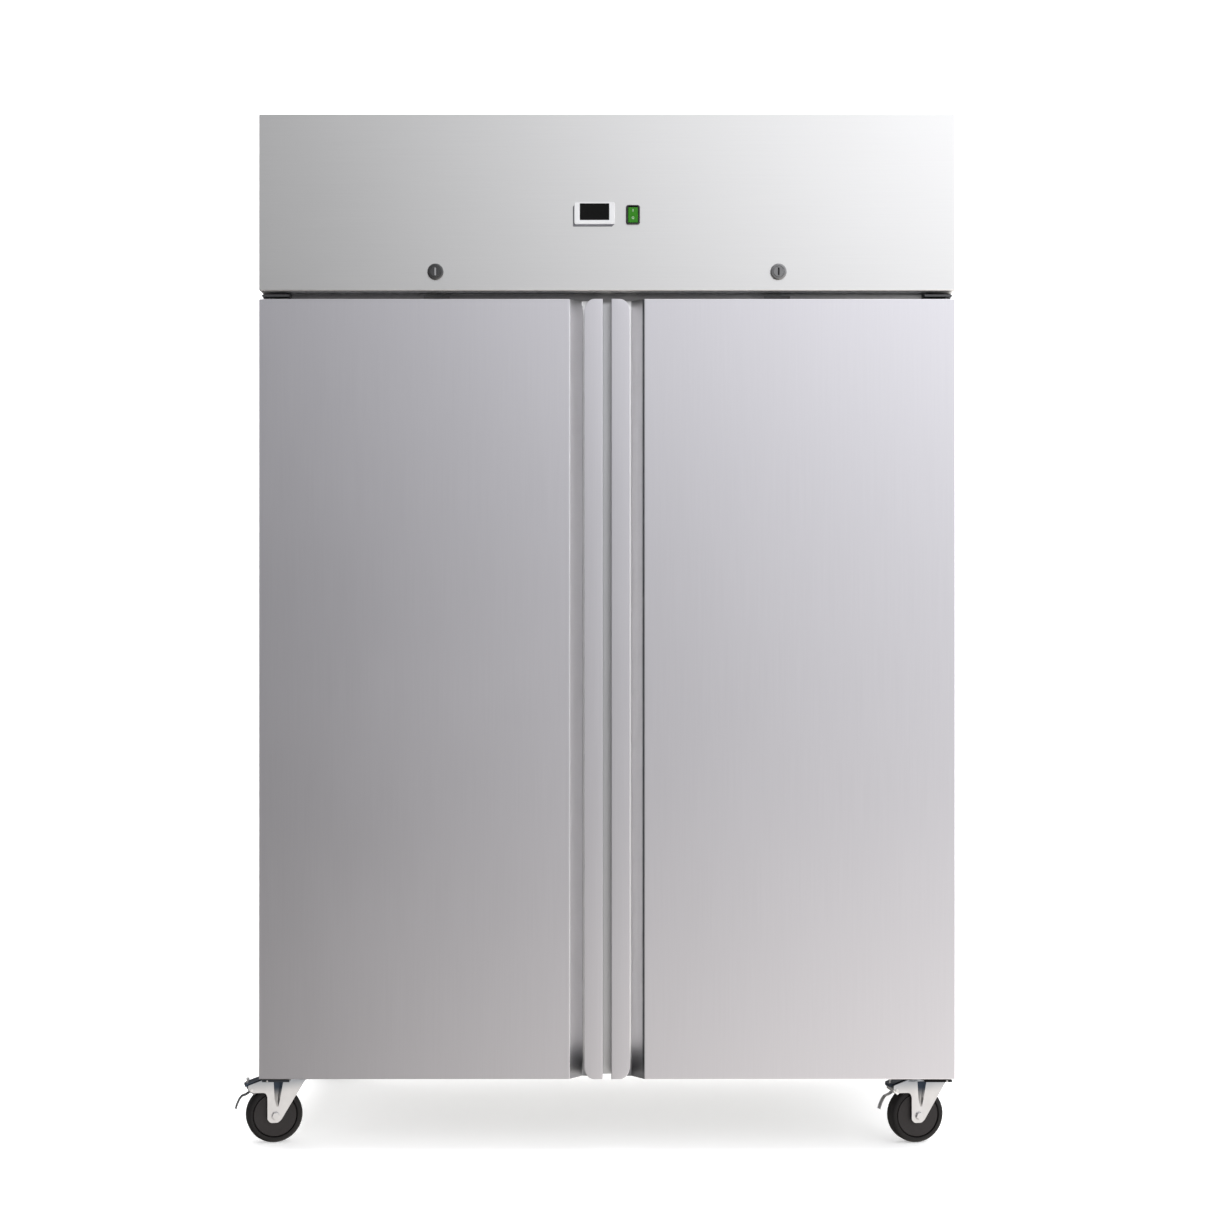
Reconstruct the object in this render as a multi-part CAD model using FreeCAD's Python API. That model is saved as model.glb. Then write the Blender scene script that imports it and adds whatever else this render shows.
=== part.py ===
"""Two-door reach-in refrigerator on four swivel casters, as a bench assembly.

Frame: +Z up, origin on the floor under the centre of the cabinet, doors facing -Y, millimetres.
A stainless cabinet is foamed between its outer sheets and a steel liner. Two doors hang on pivot
pins and meet in front of a centre mullion, each with a full-height grip channel. A header panel,
hinged along its top edge, closes the machine compartment that holds the condensing unit.
"""
import FreeCAD
import Part
import math
import os

from FreeCAD import Vector

# Driving dimensions of the cabinet.
WIDTH = 1340.0
DEPTH = 810.0
HEIGHT = 2000.0
DOOR_BOTTOM = 142.0
DOOR_TOP = 1644.0
HEADER_BOTTOM = 1660.0
DOOR_BODY = 48.0
GASKET_GAP = 6.0
WALL = 60.0
SHEET = 1.0
COVE = 15.0
CLEAR = 0.3
LID_DROP = 3.0

# Planes worked out from them.
SIDE = WIDTH / 2
FRONT = -DEPTH / 2
BACK = DEPTH / 2
BODY_FRONT = FRONT + DOOR_BODY + GASKET_GAP
FRAME_DEPTH = 10.0
CAVITY_SIDE = SIDE - WALL
CAVITY_FLOOR = DOOR_BOTTOM + WALL
CAVITY_TOP = HEADER_BOTTOM - WALL
CAVITY_BACK = BACK - WALL
DECK = HEADER_BOTTOM
MULLION_HALF = 30.0
MULLION_DEPTH = 40.0

# Door section, measured outward from the centre plane (u) and back from the door face (v).
DOOR_EDGE = 8.2
LIP_FREE_EDGE = 44.0
LIP_THICK = 2.4
LIP_CORNER = 20.0
RECESS_FACE = 72.4
RECESS_FLOOR_START = 48.0
RECESS_DEPTH = 31.0
LINER_PLATE = 2.0
PLUG_RISE = 8.0
PLUG_INNER = 42.0
PLUG_OUTER = 600.0
PLUG_WALL = 1.5
GASKET_WIDTH = 12.0
GASKET_INNER = 14.0
GASKET_OUTER = 642.0
GASKET_LOW = 166.0
GASKET_HIGH = 1630.0
PLUG_MARGIN = 34.0

# Door pivots.
PIVOT_IN = 16.0
PIVOT_BACK = 28.0
PIVOT_R = 4.0
PIVOT_CLEARANCE = 0.06
BUSH_R = 8.0
BUSH_LENGTH = 18.0
PIN_REACH = 16.0
PIVOT_X = SIDE - PIVOT_IN
PIVOT_Y = FRONT + PIVOT_BACK
BRACKET_PLATE = 4.0
TOP_BRACKET_Z = 1650.0
BRACKET_INNER = 613.0
BRACKET_OUTER = 666.0
CASTER_PAD_Z = 138.5
ARM_TOP = DOOR_BOTTOM - 4.0

# Header panel and what is set in it.
HEADER_SHEET = 1.2
HEADER_PIVOT_Y = BODY_FRONT - 6.0
HEADER_PIVOT_Z = HEIGHT - 5.5
HEADER_PIN_R = 2.5
LOCK_X = 330.0
LOCK_Z = 1696.0
LOCK_RIM_R = 15.4
LOCK_BODY_R = 9.5
LOCK_PLUG_R = 10.5
LOCK_SHAFT_R = 5.0
LOCK_PROUD = 6.0
LOCK_BODY_BACK = 30.0
CAM_REACH = 46.0
CAM_WIDTH = 14.0
CAM_THICK = 3.0
STRIKE_GAP = 1.5
STRIKE_HALF = 25.0
STRIKE_RISE = 10.0
STRIKE_SHEET = 1.5
CONTROLLER_X = -24.0
CONTROLLER_Z = 1808.5
BEZEL = (78.0, 42.0, 6.0)
CONTROLLER_BODY = (71.0, 29.0, 58.0)
DISPLAY = (56.6, 32.0, 0.8)
DISPLAY_RISE = 2.3
SWITCH_X = 50.0
SWITCH_Z = 1805.6
SWITCH_FRAME = (27.0, 37.5, 5.0)
SWITCH_HOLE = (20.0, 32.0)
SWITCH_BODY = (22.0, 30.0, 24.0)
ROCKER = (18.6, 29.0)
ROCKER_TILT = 7.0

# Casters, in each caster's own frame: swivel axis on Z, trail along -x.
CASTER_X = 630.0
CASTER_FRONT_Y = -301.0
CASTER_REAR_Y = 340.0
SWIVEL = 15.0
WHEEL_R = 55.0
WHEEL_HALF = 16.0
HUB_R = 43.0
TRAIL = 25.4
AXLE_R = 5.0
LEG_IN = 20.0
LEG_THICK = 3.0
CROWN_TOP = 126.5
CROWN_THICK = 4.0
CROWN_AHEAD = 35.0
CROWN_BEHIND = 48.0
RACE_R = 31.0
KING_PIN_R = 6.0
PEDAL_PIN = (-72.0, 107.0)
PEDAL_PIN_R = 3.0
PLATE_X = 76.0
PLATE_Y = 96.0
PLATE_THICK = 3.5
PLATE_BOLTS = (56.0, 76.0)

# Shelving.
SHELF_WIDTH = 530.0
SHELF_DEPTH = 620.0
SHELF_HEIGHTS = (470.0, 780.0, 1090.0)
SHELF_CENTRE_X = 305.0
SHELF_FRONT = -285.0
SHELF_ROD_R = 3.5
SHELF_CROSS_R = 3.0
SHELF_WIRE_R = 2.0
SHELF_WIRES = 19
PILASTER_TOP = 1400.0
PILASTER_PITCH = 62.0
PILASTER_DEPTH = 28.0
PILASTER_HALF = 14.0
PILASTER_SHEET = 1.2
PILASTER_Y = (-265.0, 240.0)
SLIDE_LEG = 26.0
SLIDE_UP = 18.0
SLIDE_SHEET = 1.5

# Cold-air unit under the ceiling, and the machine compartment.
COVER_FRONT = 20.0
COVER_BOTTOM = 1430.0
COVER_SIDE = 560.0
COOLING_FAN_X = 260.0
COOLING_FAN_Z = 1515.0
COOLING_FAN_R = 62.0
CONDENSER_FAN = (210.0, 70.0, 1830.0)
CONDENSER_FAN_R = 112.0


def box(x0, x1, y0, y1, z0, z1):
    """An axis-aligned block between two corners given as ranges."""
    low = Vector(min(x0, x1), min(y0, y1), min(z0, z1))
    return Part.makeBox(abs(x1 - x0), abs(y1 - y0), abs(z1 - z0), low)


def rod(radius, start, end):
    """A round bar from one point to another."""
    a = Vector(*start)
    b = Vector(*end)
    return Part.makeCylinder(radius, (b - a).Length, a, b - a)


def tube(outer, inner, start, end):
    return rod(outer, start, end).cut(rod(inner, start, end))


def prism(points, direction):
    """A closed outline of points, or of ready-made edges, pushed along a direction."""
    if isinstance(points[0], Part.Edge):
        wire = Part.Wire(points)
    else:
        corners = [Vector(*p) for p in points]
        wire = Part.makePolygon(corners + corners[:1])
    return Part.Face(wire).extrude(Vector(*direction))


def rounded_tunnel(half_x, z0, z1, y0, y1, radius):
    """A block whose four edges along Y are rounded."""
    block = box(-half_x, half_x, y0, y1, z0, z1)
    edges = [e for e in block.Edges if abs(e.tangentAt(e.FirstParameter).y) > 0.99]
    return block.makeFillet(radius, edges)


def hexagon(across_flats, height, centre, axis):
    """A hexagonal head or nut standing on centre along axis."""
    radius = across_flats / math.sqrt(3)
    points = [(radius * math.cos(math.radians(60 * k)), radius * math.sin(math.radians(60 * k)), 0)
              for k in range(6)]
    head = prism(points, (0, 0, height))
    head.Placement = FreeCAD.Placement(Vector(*centre),
                                       FreeCAD.Rotation(Vector(0, 0, 1), Vector(*axis)))
    return head


def export(node, *shapes):
    """Writes one node, a single solid or a group of separate solids."""
    solids = [s for shape in shapes for s in shape.Solids]
    for s in solids:
        if not s.isValid() or s.Volume <= 0:
            print("bad solid in", node)
    whole = solids[0] if len(solids) == 1 else Part.makeCompound(solids)
    whole.exportStep(f"parts/{node}.step")


def both_sides(make):
    """The pieces that make(side) returns for the left (-1) and the right (+1)."""
    return [make(side) for side in (-1, 1)]


# Cabinet shell, insulation and liner.

def side_panel(side):
    return box(side * (SIDE - SHEET), side * SIDE, BODY_FRONT, BACK, DOOR_BOTTOM, HEIGHT)


def back_panel():
    inside = SIDE - SHEET
    return box(-inside, inside, BACK - SHEET, BACK, DOOR_BOTTOM, DECK)


def base_panel():
    inside = SIDE - SHEET
    return box(-inside, inside, BODY_FRONT, BACK - SHEET, DOOR_BOTTOM, DOOR_BOTTOM + SHEET)


def machine_deck():
    inside = SIDE - SHEET
    return box(-inside, inside, BODY_FRONT, BACK - SHEET, DECK - SHEET, DECK)


def inner_liner():
    start = BODY_FRONT + FRAME_DEPTH
    outer = rounded_tunnel(CAVITY_SIDE + SHEET, CAVITY_FLOOR - SHEET, CAVITY_TOP + SHEET,
                           start, CAVITY_BACK + SHEET, COVE + SHEET)
    hollow = rounded_tunnel(CAVITY_SIDE, CAVITY_FLOOR, CAVITY_TOP, start, CAVITY_BACK, COVE)
    return outer.cut(hollow)


def cabinet_foam():
    inside = SIDE - SHEET
    start = BODY_FRONT + FRAME_DEPTH
    block = box(-inside, inside, start, BACK - SHEET, DOOR_BOTTOM + SHEET, DECK - SHEET)
    return block.cut(rounded_tunnel(CAVITY_SIDE + SHEET, CAVITY_FLOOR - SHEET, CAVITY_TOP + SHEET,
                                    start, CAVITY_BACK + SHEET, COVE + SHEET))


def front_frame():
    inside = SIDE - SHEET
    end = BODY_FRONT + FRAME_DEPTH
    plate = box(-inside, inside, BODY_FRONT, end, DOOR_BOTTOM + SHEET, DECK - SHEET)
    return plate.cut(rounded_tunnel(CAVITY_SIDE, CAVITY_FLOOR, CAVITY_TOP, BODY_FRONT, end, COVE))


def centre_mullion():
    """A channel, closed towards the doors and open to the cavity, with inturned rear flanges."""
    rear = BODY_FRONT + MULLION_DEPTH
    wall = 1.2
    flange = 12.0
    post = box(-MULLION_HALF, MULLION_HALF, BODY_FRONT, rear, CAVITY_FLOOR, CAVITY_TOP)
    half = MULLION_HALF - wall
    post = post.cut(box(-half, half, BODY_FRONT + wall, rear - wall, CAVITY_FLOOR, CAVITY_TOP))
    slot = half - flange
    return post.cut(box(-slot, slot, rear - wall, rear, CAVITY_FLOOR, CAVITY_TOP))


def top_cover():
    """The lid, sunk a little between the side panels, with a downturned front edge."""
    inside = SIDE - SHEET
    top = HEIGHT - LID_DROP
    sheet = box(-inside, inside, BODY_FRONT, BACK - SHEET, top - SHEET, top)
    clear = inside - 12
    front_fold = box(-clear, clear, BODY_FRONT, BODY_FRONT + SHEET, top - 22, top - SHEET)
    return sheet.fuse(front_fold)


def rear_grille():
    """The machine compartment's back sheet, with three banks of louvre slots and a cable hole."""
    inside = SIDE - SHEET
    sheet = box(-inside, inside, BACK - SHEET, BACK, DECK, HEIGHT)
    slot_length = 260.0
    cuts = []
    for bank in (-400, 0, 400):
        for row in range(9):
            z = 1745 + 22 * row
            cuts.append(box(bank - slot_length / 2, bank + slot_length / 2,
                            BACK - 2 * SHEET, BACK + SHEET, z, z + 8))
    cuts.append(rod(9.0, (560, BACK - 2 * SHEET, 1700), (560, BACK + SHEET, 1700)))
    return sheet.cut(Part.makeCompound(cuts))


# Door hinges and the header panel's pivots, fixed to the cabinet.

def top_hinge_bracket(side):
    inner = side * BRACKET_INNER
    outer = side * BRACKET_OUTER
    plate_top = TOP_BRACKET_Z + BRACKET_PLATE
    arm = box(inner, outer, PIVOT_Y - 16, BODY_FRONT, TOP_BRACKET_Z, plate_top)
    flange = box(inner, outer, BODY_FRONT - BRACKET_PLATE, BODY_FRONT, DOOR_TOP + 2, DECK - 1)
    pin = rod(PIVOT_R, (side * PIVOT_X, PIVOT_Y, DOOR_TOP - PIN_REACH),
              (side * PIVOT_X, PIVOT_Y, TOP_BRACKET_Z))
    return arm.fuse([flange, pin])


def bottom_hinge_bracket(side):
    """An arm under the door, stepped up to a pad sandwiched between the base and the caster."""
    inner = side * BRACKET_INNER
    outer = side * BRACKET_OUTER
    low = ARM_TOP - BRACKET_PLATE
    arm = box(inner, outer, PIVOT_Y - 16, BODY_FRONT - 1, low, ARM_TOP)
    pad = box(side * (CASTER_X - PLATE_X / 2), side * (CASTER_X + PLATE_X / 2),
              BODY_FRONT + 1, CASTER_FRONT_Y + PLATE_Y / 2, CASTER_PAD_Z, DOOR_BOTTOM)
    riser = box(inner, outer, BODY_FRONT - 3, BODY_FRONT + 1, low, DOOR_BOTTOM - CLEAR)
    pin = rod(PIVOT_R, (side * PIVOT_X, PIVOT_Y, ARM_TOP),
              (side * PIVOT_X, PIVOT_Y, DOOR_BOTTOM + PIN_REACH))
    return arm.fuse([pad, riser, pin])


def header_pivot(side):
    """A small bracket inside the side panel, with the pin that the header panel turns on."""
    centre_y = HEADER_PIVOT_Y
    z = HEADER_PIVOT_Z
    inner = side * (SIDE - 6)
    face = side * (SIDE - 3)
    disc = rod(4.0, (inner, centre_y, z), (face, centre_y, z))
    bar = box(inner, face, centre_y - 3, BODY_FRONT + 30, z - 16, z - 0.5)
    spacer = box(face, side * (SIDE - SHEET), BODY_FRONT + 4, BODY_FRONT + 30, z - 16, z - 0.5)
    pin = rod(HEADER_PIN_R, (face, centre_y, z), (side * SIDE, centre_y, z))
    return bar.fuse([disc, spacer, pin])


# Doors. side is -1 for the left door and +1 for the right one.

def door_point(side, u, v, z):
    return (side * u, FRONT + v, z)


def door_prism(side, outline, z0, z1):
    return prism([door_point(side, u, v, z0) for u, v in outline], (0, 0, z1 - z0))


def door_box(side, u0, u1, v0, v1, z0, z1):
    return box(side * u0, side * u1, FRONT + v0, FRONT + v1, z0, z1)


def bush_holes(side):
    """The round pockets for the pivot bushes in the door's two ends."""
    top = rod(BUSH_R, (side * PIVOT_X, PIVOT_Y, DOOR_TOP - BUSH_LENGTH),
              (side * PIVOT_X, PIVOT_Y, DOOR_TOP))
    bottom = rod(BUSH_R, (side * PIVOT_X, PIVOT_Y, DOOR_BOTTOM),
                 (side * PIVOT_X, PIVOT_Y, DOOR_BOTTOM + BUSH_LENGTH))
    return [top, bottom]


def lock_strike(side):
    """The angle on the door's top whose upright stands behind the lowered lock cam."""
    front = LOCK_BODY_BACK + CAM_THICK + STRIKE_GAP
    u0, u1 = LOCK_X - STRIKE_HALF, LOCK_X + STRIKE_HALF
    foot = door_box(side, u0, u1, front, DOOR_BODY - LINER_PLATE, DOOR_TOP,
                    DOOR_TOP + STRIKE_SHEET)
    upright = door_box(side, u0, u1, front, front + STRIKE_SHEET, DOOR_TOP,
                       DOOR_TOP + STRIKE_RISE)
    return foot.fuse(upright)


def foam_region(side):
    """What the door's foam fills, with the raised plug behind the liner."""
    s = SHEET
    back = DOOR_BODY - LINER_PLATE
    core = door_prism(side, [(SIDE - s, s), (RECESS_FACE + s / 2, s),
                             (RECESS_FLOOR_START + s / 2, RECESS_DEPTH + s),
                             (DOOR_EDGE + s, RECESS_DEPTH + s), (DOOR_EDGE + s, back),
                             (SIDE - s, back)], DOOR_BOTTOM + s, DOOR_TOP - s)
    w = PLUG_WALL
    plug = door_box(side, PLUG_INNER + w, PLUG_OUTER - w, back, DOOR_BODY + PLUG_RISE - w,
                    GASKET_LOW + GASKET_WIDTH + PLUG_MARGIN + w,
                    GASKET_HIGH - GASKET_WIDTH - PLUG_MARGIN + 6 - w)
    return core.fuse(plug)


def door_skin(side):
    """The folded outer sheet, with its grip channel and the lip along the meeting edge."""
    back = DOOR_BODY - LINER_PLATE
    body = door_prism(side, [(SIDE, 0), (RECESS_FACE, 0), (RECESS_FLOOR_START, RECESS_DEPTH),
                             (DOOR_EDGE, RECESS_DEPTH), (DOOR_EDGE, back), (SIDE, back)],
                      DOOR_BOTTOM, DOOR_TOP)
    t = LIP_THICK
    lip = door_prism(side, [(DOOR_EDGE, RECESS_DEPTH), (DOOR_EDGE, 0), (LIP_FREE_EDGE, 0),
                            (LIP_FREE_EDGE, t), (DOOR_EDGE + t, t),
                            (DOOR_EDGE + t, RECESS_DEPTH)], DOOR_BOTTOM, DOOR_TOP)
    u = LIP_FREE_EDGE - LIP_CORNER
    for z, inward in ((DOOR_BOTTOM, 1), (DOOR_TOP, -1)):
        centre = z + inward * LIP_CORNER
        square = door_box(side, u, LIP_FREE_EDGE + 1, -1, t + 1, z - inward, centre)
        round_part = rod(LIP_CORNER, door_point(side, u, -1, centre),
                         door_point(side, u, t + 1, centre))
        lip = lip.cut(square.cut(round_part))
    skin = body.cut(foam_region(side)).fuse(lip)
    return skin.cut(Part.makeCompound(bush_holes(side)))


def door_foam(side):
    return foam_region(side).cut(Part.makeCompound(bush_holes(side)))


def door_liner(side):
    """The pressed inner panel: a flat rim for the gasket and a raised plug inside it."""
    plate = door_box(side, DOOR_EDGE, SIDE, DOOR_BODY - LINER_PLATE, DOOR_BODY,
                     DOOR_BOTTOM, DOOR_TOP)
    low = GASKET_LOW + GASKET_WIDTH + PLUG_MARGIN
    high = GASKET_HIGH - GASKET_WIDTH - PLUG_MARGIN + 6
    plug = door_box(side, PLUG_INNER, PLUG_OUTER, DOOR_BODY, DOOR_BODY + PLUG_RISE, low, high)
    upright = [e for e in plug.Edges if abs(e.tangentAt(e.FirstParameter).y) > 0.99]
    plug = plug.makeFillet(12.0, upright)
    return plate.fuse(plug).cut(foam_region(side))


def door_gasket(side):
    """A magnetic gasket frame: a flat base and a narrower bellows that meets the cabinet."""
    w = GASKET_WIDTH
    tip = GASKET_GAP - CLEAR

    def ring(inset, v0, v1):
        outer = door_box(side, GASKET_INNER + inset, GASKET_OUTER - inset, v0, v1,
                         GASKET_LOW + inset, GASKET_HIGH - inset)
        inner = door_box(side, GASKET_INNER + w - inset, GASKET_OUTER - w + inset, v0, v1,
                         GASKET_LOW + w - inset, GASKET_HIGH - w + inset)
        return outer.cut(inner)

    return ring(0, DOOR_BODY, DOOR_BODY + 1.5).fuse(
        [ring(1.5, DOOR_BODY + 1.5, DOOR_BODY + 3), ring(0.5, DOOR_BODY + 3, DOOR_BODY + tip)])


def door_bushes(side):
    bore = PIVOT_R + PIVOT_CLEARANCE
    x = side * PIVOT_X
    top = tube(BUSH_R, bore, (x, PIVOT_Y, DOOR_TOP - BUSH_LENGTH), (x, PIVOT_Y, DOOR_TOP))
    bottom = tube(BUSH_R, bore, (x, PIVOT_Y, DOOR_BOTTOM), (x, PIVOT_Y, DOOR_BOTTOM + BUSH_LENGTH))
    return [top, bottom]


# Header panel, controls and locks.

def header_panel():
    """A shallow tray, with openings for the controls and slots for the lock cams."""
    t = HEADER_SHEET
    rear = BODY_FRONT - 0.5
    face = box(-SIDE, SIDE, FRONT, FRONT + t, HEADER_BOTTOM, HEIGHT)
    top = box(-SIDE, SIDE, FRONT, HEADER_PIVOT_Y, HEIGHT - t, HEIGHT)
    bottom = box(-SIDE, SIDE, FRONT, rear, HEADER_BOTTOM, HEADER_BOTTOM + t)
    lift = box(-SIDE + t, SIDE - t, rear - t, rear, HEADER_BOTTOM + t, HEADER_BOTTOM + 14)

    def cheek(side):
        x = min(side * SIDE, side * (SIDE - t))
        return prism([(x, FRONT, HEADER_BOTTOM), (x, rear, HEADER_BOTTOM),
                      (x, rear, HEADER_PIVOT_Z), (x, HEADER_PIVOT_Y, HEIGHT), (x, FRONT, HEIGHT)],
                     (t, 0, 0))

    tray = face.fuse([top, bottom, lift] + both_sides(cheek))
    w, h = CONTROLLER_BODY[0] / 2, CONTROLLER_BODY[1] / 2
    cuts = [box(CONTROLLER_X - w, CONTROLLER_X + w, FRONT - 1, FRONT + 2 * t,
                CONTROLLER_Z - h, CONTROLLER_Z + h)]
    w, h = SWITCH_BODY[0] / 2, SWITCH_BODY[1] / 2
    cuts.append(box(SWITCH_X - w, SWITCH_X + w, FRONT - 1, FRONT + 2 * t,
                    SWITCH_Z - h, SWITCH_Z + h))
    for side in (-1, 1):
        x = side * LOCK_X
        cuts.append(rod(LOCK_BODY_R, (x, FRONT - 1, LOCK_Z), (x, FRONT + 2 * t, LOCK_Z)))
        cuts.append(box(x + side * 12, x - side * CAM_REACH, FRONT + LOCK_BODY_BACK - 3,
                        FRONT + LOCK_BODY_BACK + 7, HEADER_BOTTOM - 1, HEADER_BOTTOM + 2 * t))
        pin = HEADER_PIN_R + PIVOT_CLEARANCE
        cuts.append(rod(pin, (side * (SIDE - 3), HEADER_PIVOT_Y, HEADER_PIVOT_Z),
                        (side * (SIDE + 1), HEADER_PIVOT_Y, HEADER_PIVOT_Z)))
    return tray.cut(Part.makeCompound(cuts))


def controller_case():
    bw, bh, bd = BEZEL
    cw, ch, cd = CONTROLLER_BODY
    dw, dh, dd = DISPLAY
    bezel = box(CONTROLLER_X - bw / 2, CONTROLLER_X + bw / 2, FRONT - bd, FRONT,
                CONTROLLER_Z - bh / 2, CONTROLLER_Z + bh / 2)
    upright = [e for e in bezel.Edges if abs(e.tangentAt(e.FirstParameter).y) > 0.99]
    bezel = bezel.makeFillet(3.0, upright)
    body = box(CONTROLLER_X - cw / 2, CONTROLLER_X + cw / 2, FRONT, FRONT + cd,
               CONTROLLER_Z - ch / 2, CONTROLLER_Z + ch / 2)
    z = CONTROLLER_Z + DISPLAY_RISE
    window = box(CONTROLLER_X - dw / 2, CONTROLLER_X + dw / 2, FRONT - bd, FRONT - bd + dd,
                 z - dh / 2, z + dh / 2)
    return bezel.fuse(body).cut(window)


def controller_display():
    dw, dh, dd = DISPLAY
    z = CONTROLLER_Z + DISPLAY_RISE
    front = FRONT - BEZEL[2]
    return box(CONTROLLER_X - dw / 2, CONTROLLER_X + dw / 2, front, front + dd,
               z - dh / 2, z + dh / 2)


def switch_frame():
    fw, fh, fd = SWITCH_FRAME
    bw, bh, bd = SWITCH_BODY
    hw, hh = SWITCH_HOLE
    rim = box(SWITCH_X - fw / 2, SWITCH_X + fw / 2, FRONT - fd, FRONT,
              SWITCH_Z - fh / 2, SWITCH_Z + fh / 2)
    upright = [e for e in rim.Edges if abs(e.tangentAt(e.FirstParameter).y) > 0.99]
    rim = rim.makeFillet(4.0, upright)
    body = box(SWITCH_X - bw / 2, SWITCH_X + bw / 2, FRONT, FRONT + bd,
               SWITCH_Z - bh / 2, SWITCH_Z + bh / 2)
    well = box(SWITCH_X - hw / 2, SWITCH_X + hw / 2, FRONT - fd - 1, FRONT + 0,
               SWITCH_Z - hh / 2, SWITCH_Z + hh / 2)
    socket = box(SWITCH_X - hw / 2, SWITCH_X + hw / 2, FRONT, FRONT + 12,
                 SWITCH_Z - bh / 2 + 1, SWITCH_Z + bh / 2 - 1)
    pivot = rod(1.5, (SWITCH_X - hw / 2, FRONT + 2, SWITCH_Z),
                (SWITCH_X + hw / 2, FRONT + 2, SWITCH_Z))
    return rim.fuse(body).cut(well.fuse(socket)).fuse(pivot)


def switch_rocker():
    """A shallow-vee rocker on the switch's cross pin, resting tipped to its upper half."""
    w, h = ROCKER
    y = FRONT + 2
    half = h / 2
    outline = [(0, y - 8.4, SWITCH_Z), (0, y - 9.6, SWITCH_Z + half),
               (0, y - 4.0, SWITCH_Z + half - 1.5), (0, y + 3.5, SWITCH_Z + 3),
               (0, y + 3.5, SWITCH_Z - 3), (0, y - 4.0, SWITCH_Z - half + 1.5),
               (0, y - 9.6, SWITCH_Z - half)]
    rocker = prism(outline, (w, 0, 0))
    rocker.translate(Vector(SWITCH_X - w / 2, 0, 0))
    rocker = rocker.cut(rod(1.56, (SWITCH_X - w, y, SWITCH_Z), (SWITCH_X + w, y, SWITCH_Z)))
    rocker.rotate(Vector(SWITCH_X, y, SWITCH_Z), Vector(1, 0, 0), ROCKER_TILT)
    return rocker


def lock_barrel(side):
    """The threaded housing with its rim in front of the panel and a nut behind it."""
    x = side * LOCK_X
    rim = rod(LOCK_RIM_R, (x, FRONT - LOCK_PROUD, LOCK_Z), (x, FRONT, LOCK_Z))
    neck = rod(LOCK_BODY_R, (x, FRONT, LOCK_Z), (x, FRONT + LOCK_BODY_BACK - 2, LOCK_Z))
    nut = hexagon(26.0, 5.0, (x, FRONT + HEADER_SHEET, LOCK_Z), (0, 1, 0))
    seat = rod(LOCK_PLUG_R + PIVOT_CLEARANCE, (x, FRONT - LOCK_PROUD, LOCK_Z),
               (x, FRONT - 1.5, LOCK_Z))
    bore = rod(LOCK_SHAFT_R + PIVOT_CLEARANCE, (x, FRONT - 1.5, LOCK_Z),
               (x, FRONT + LOCK_BODY_BACK, LOCK_Z))
    return rim.fuse([neck, nut]).cut(seat.fuse(bore))


def lock_cylinder(side):
    """The key plug, its shaft and the long cam, which lies level while the doors are free."""
    x = side * LOCK_X
    back = FRONT + LOCK_BODY_BACK
    plug = rod(LOCK_PLUG_R, (x, FRONT - LOCK_PROUD - 0.6, LOCK_Z), (x, FRONT - 1.9, LOCK_Z))
    keyway = box(x - 1.5, x + 1.5, FRONT - LOCK_PROUD - 2, FRONT - LOCK_PROUD + 3,
                 LOCK_Z - 7.5, LOCK_Z + 7.5)
    shaft = rod(LOCK_SHAFT_R, (x, FRONT - 1.9, LOCK_Z), (x, back + CAM_THICK + 3, LOCK_Z))
    tip = -side * (CAM_REACH - CAM_WIDTH / 2)
    cam = box(x, x + tip, back, back + CAM_THICK, LOCK_Z - CAM_WIDTH / 2, LOCK_Z + CAM_WIDTH / 2)
    ends = [rod(CAM_WIDTH / 2, (x + end, back, LOCK_Z), (x + end, back + CAM_THICK, LOCK_Z))
            for end in (0, tip)]
    return plug.cut(keyway).fuse([shaft, cam] + ends)


# Casters.

def leg_outline(y):
    """One pressed leg seen from the side, with the brake horn reaching back over the wheel."""
    axle = Vector(-TRAIL, y, WHEEL_R)
    p = [Vector(x, y, z) for x, z in
         ((CROWN_AHEAD, CROWN_TOP), (-TRAIL + 13.2, WHEEL_R - 4.5), (-TRAIL - 15.9, WHEEL_R - 4.5),
          (-TRAIL - 15.9, 90), (-43.4, 97.8), (-49.0, 100.8), (-71, 101.8), (-79, 109.5), (-79, 116.5),
          (-CROWN_BEHIND, CROWN_TOP))]
    low = axle + Vector(-1.8, 0, -13.8)
    edges = [Part.LineSegment(p[0], p[1]).toShape(), Part.Arc(p[1], low, p[2]).toShape(),
             Part.LineSegment(p[2], p[3]).toShape(), Part.Arc(p[3], p[4], p[5]).toShape()]
    edges += [Part.LineSegment(p[k], p[k + 1]).toShape() for k in range(5, 9)]
    return edges + [Part.LineSegment(p[9], p[0]).toShape()]


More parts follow.
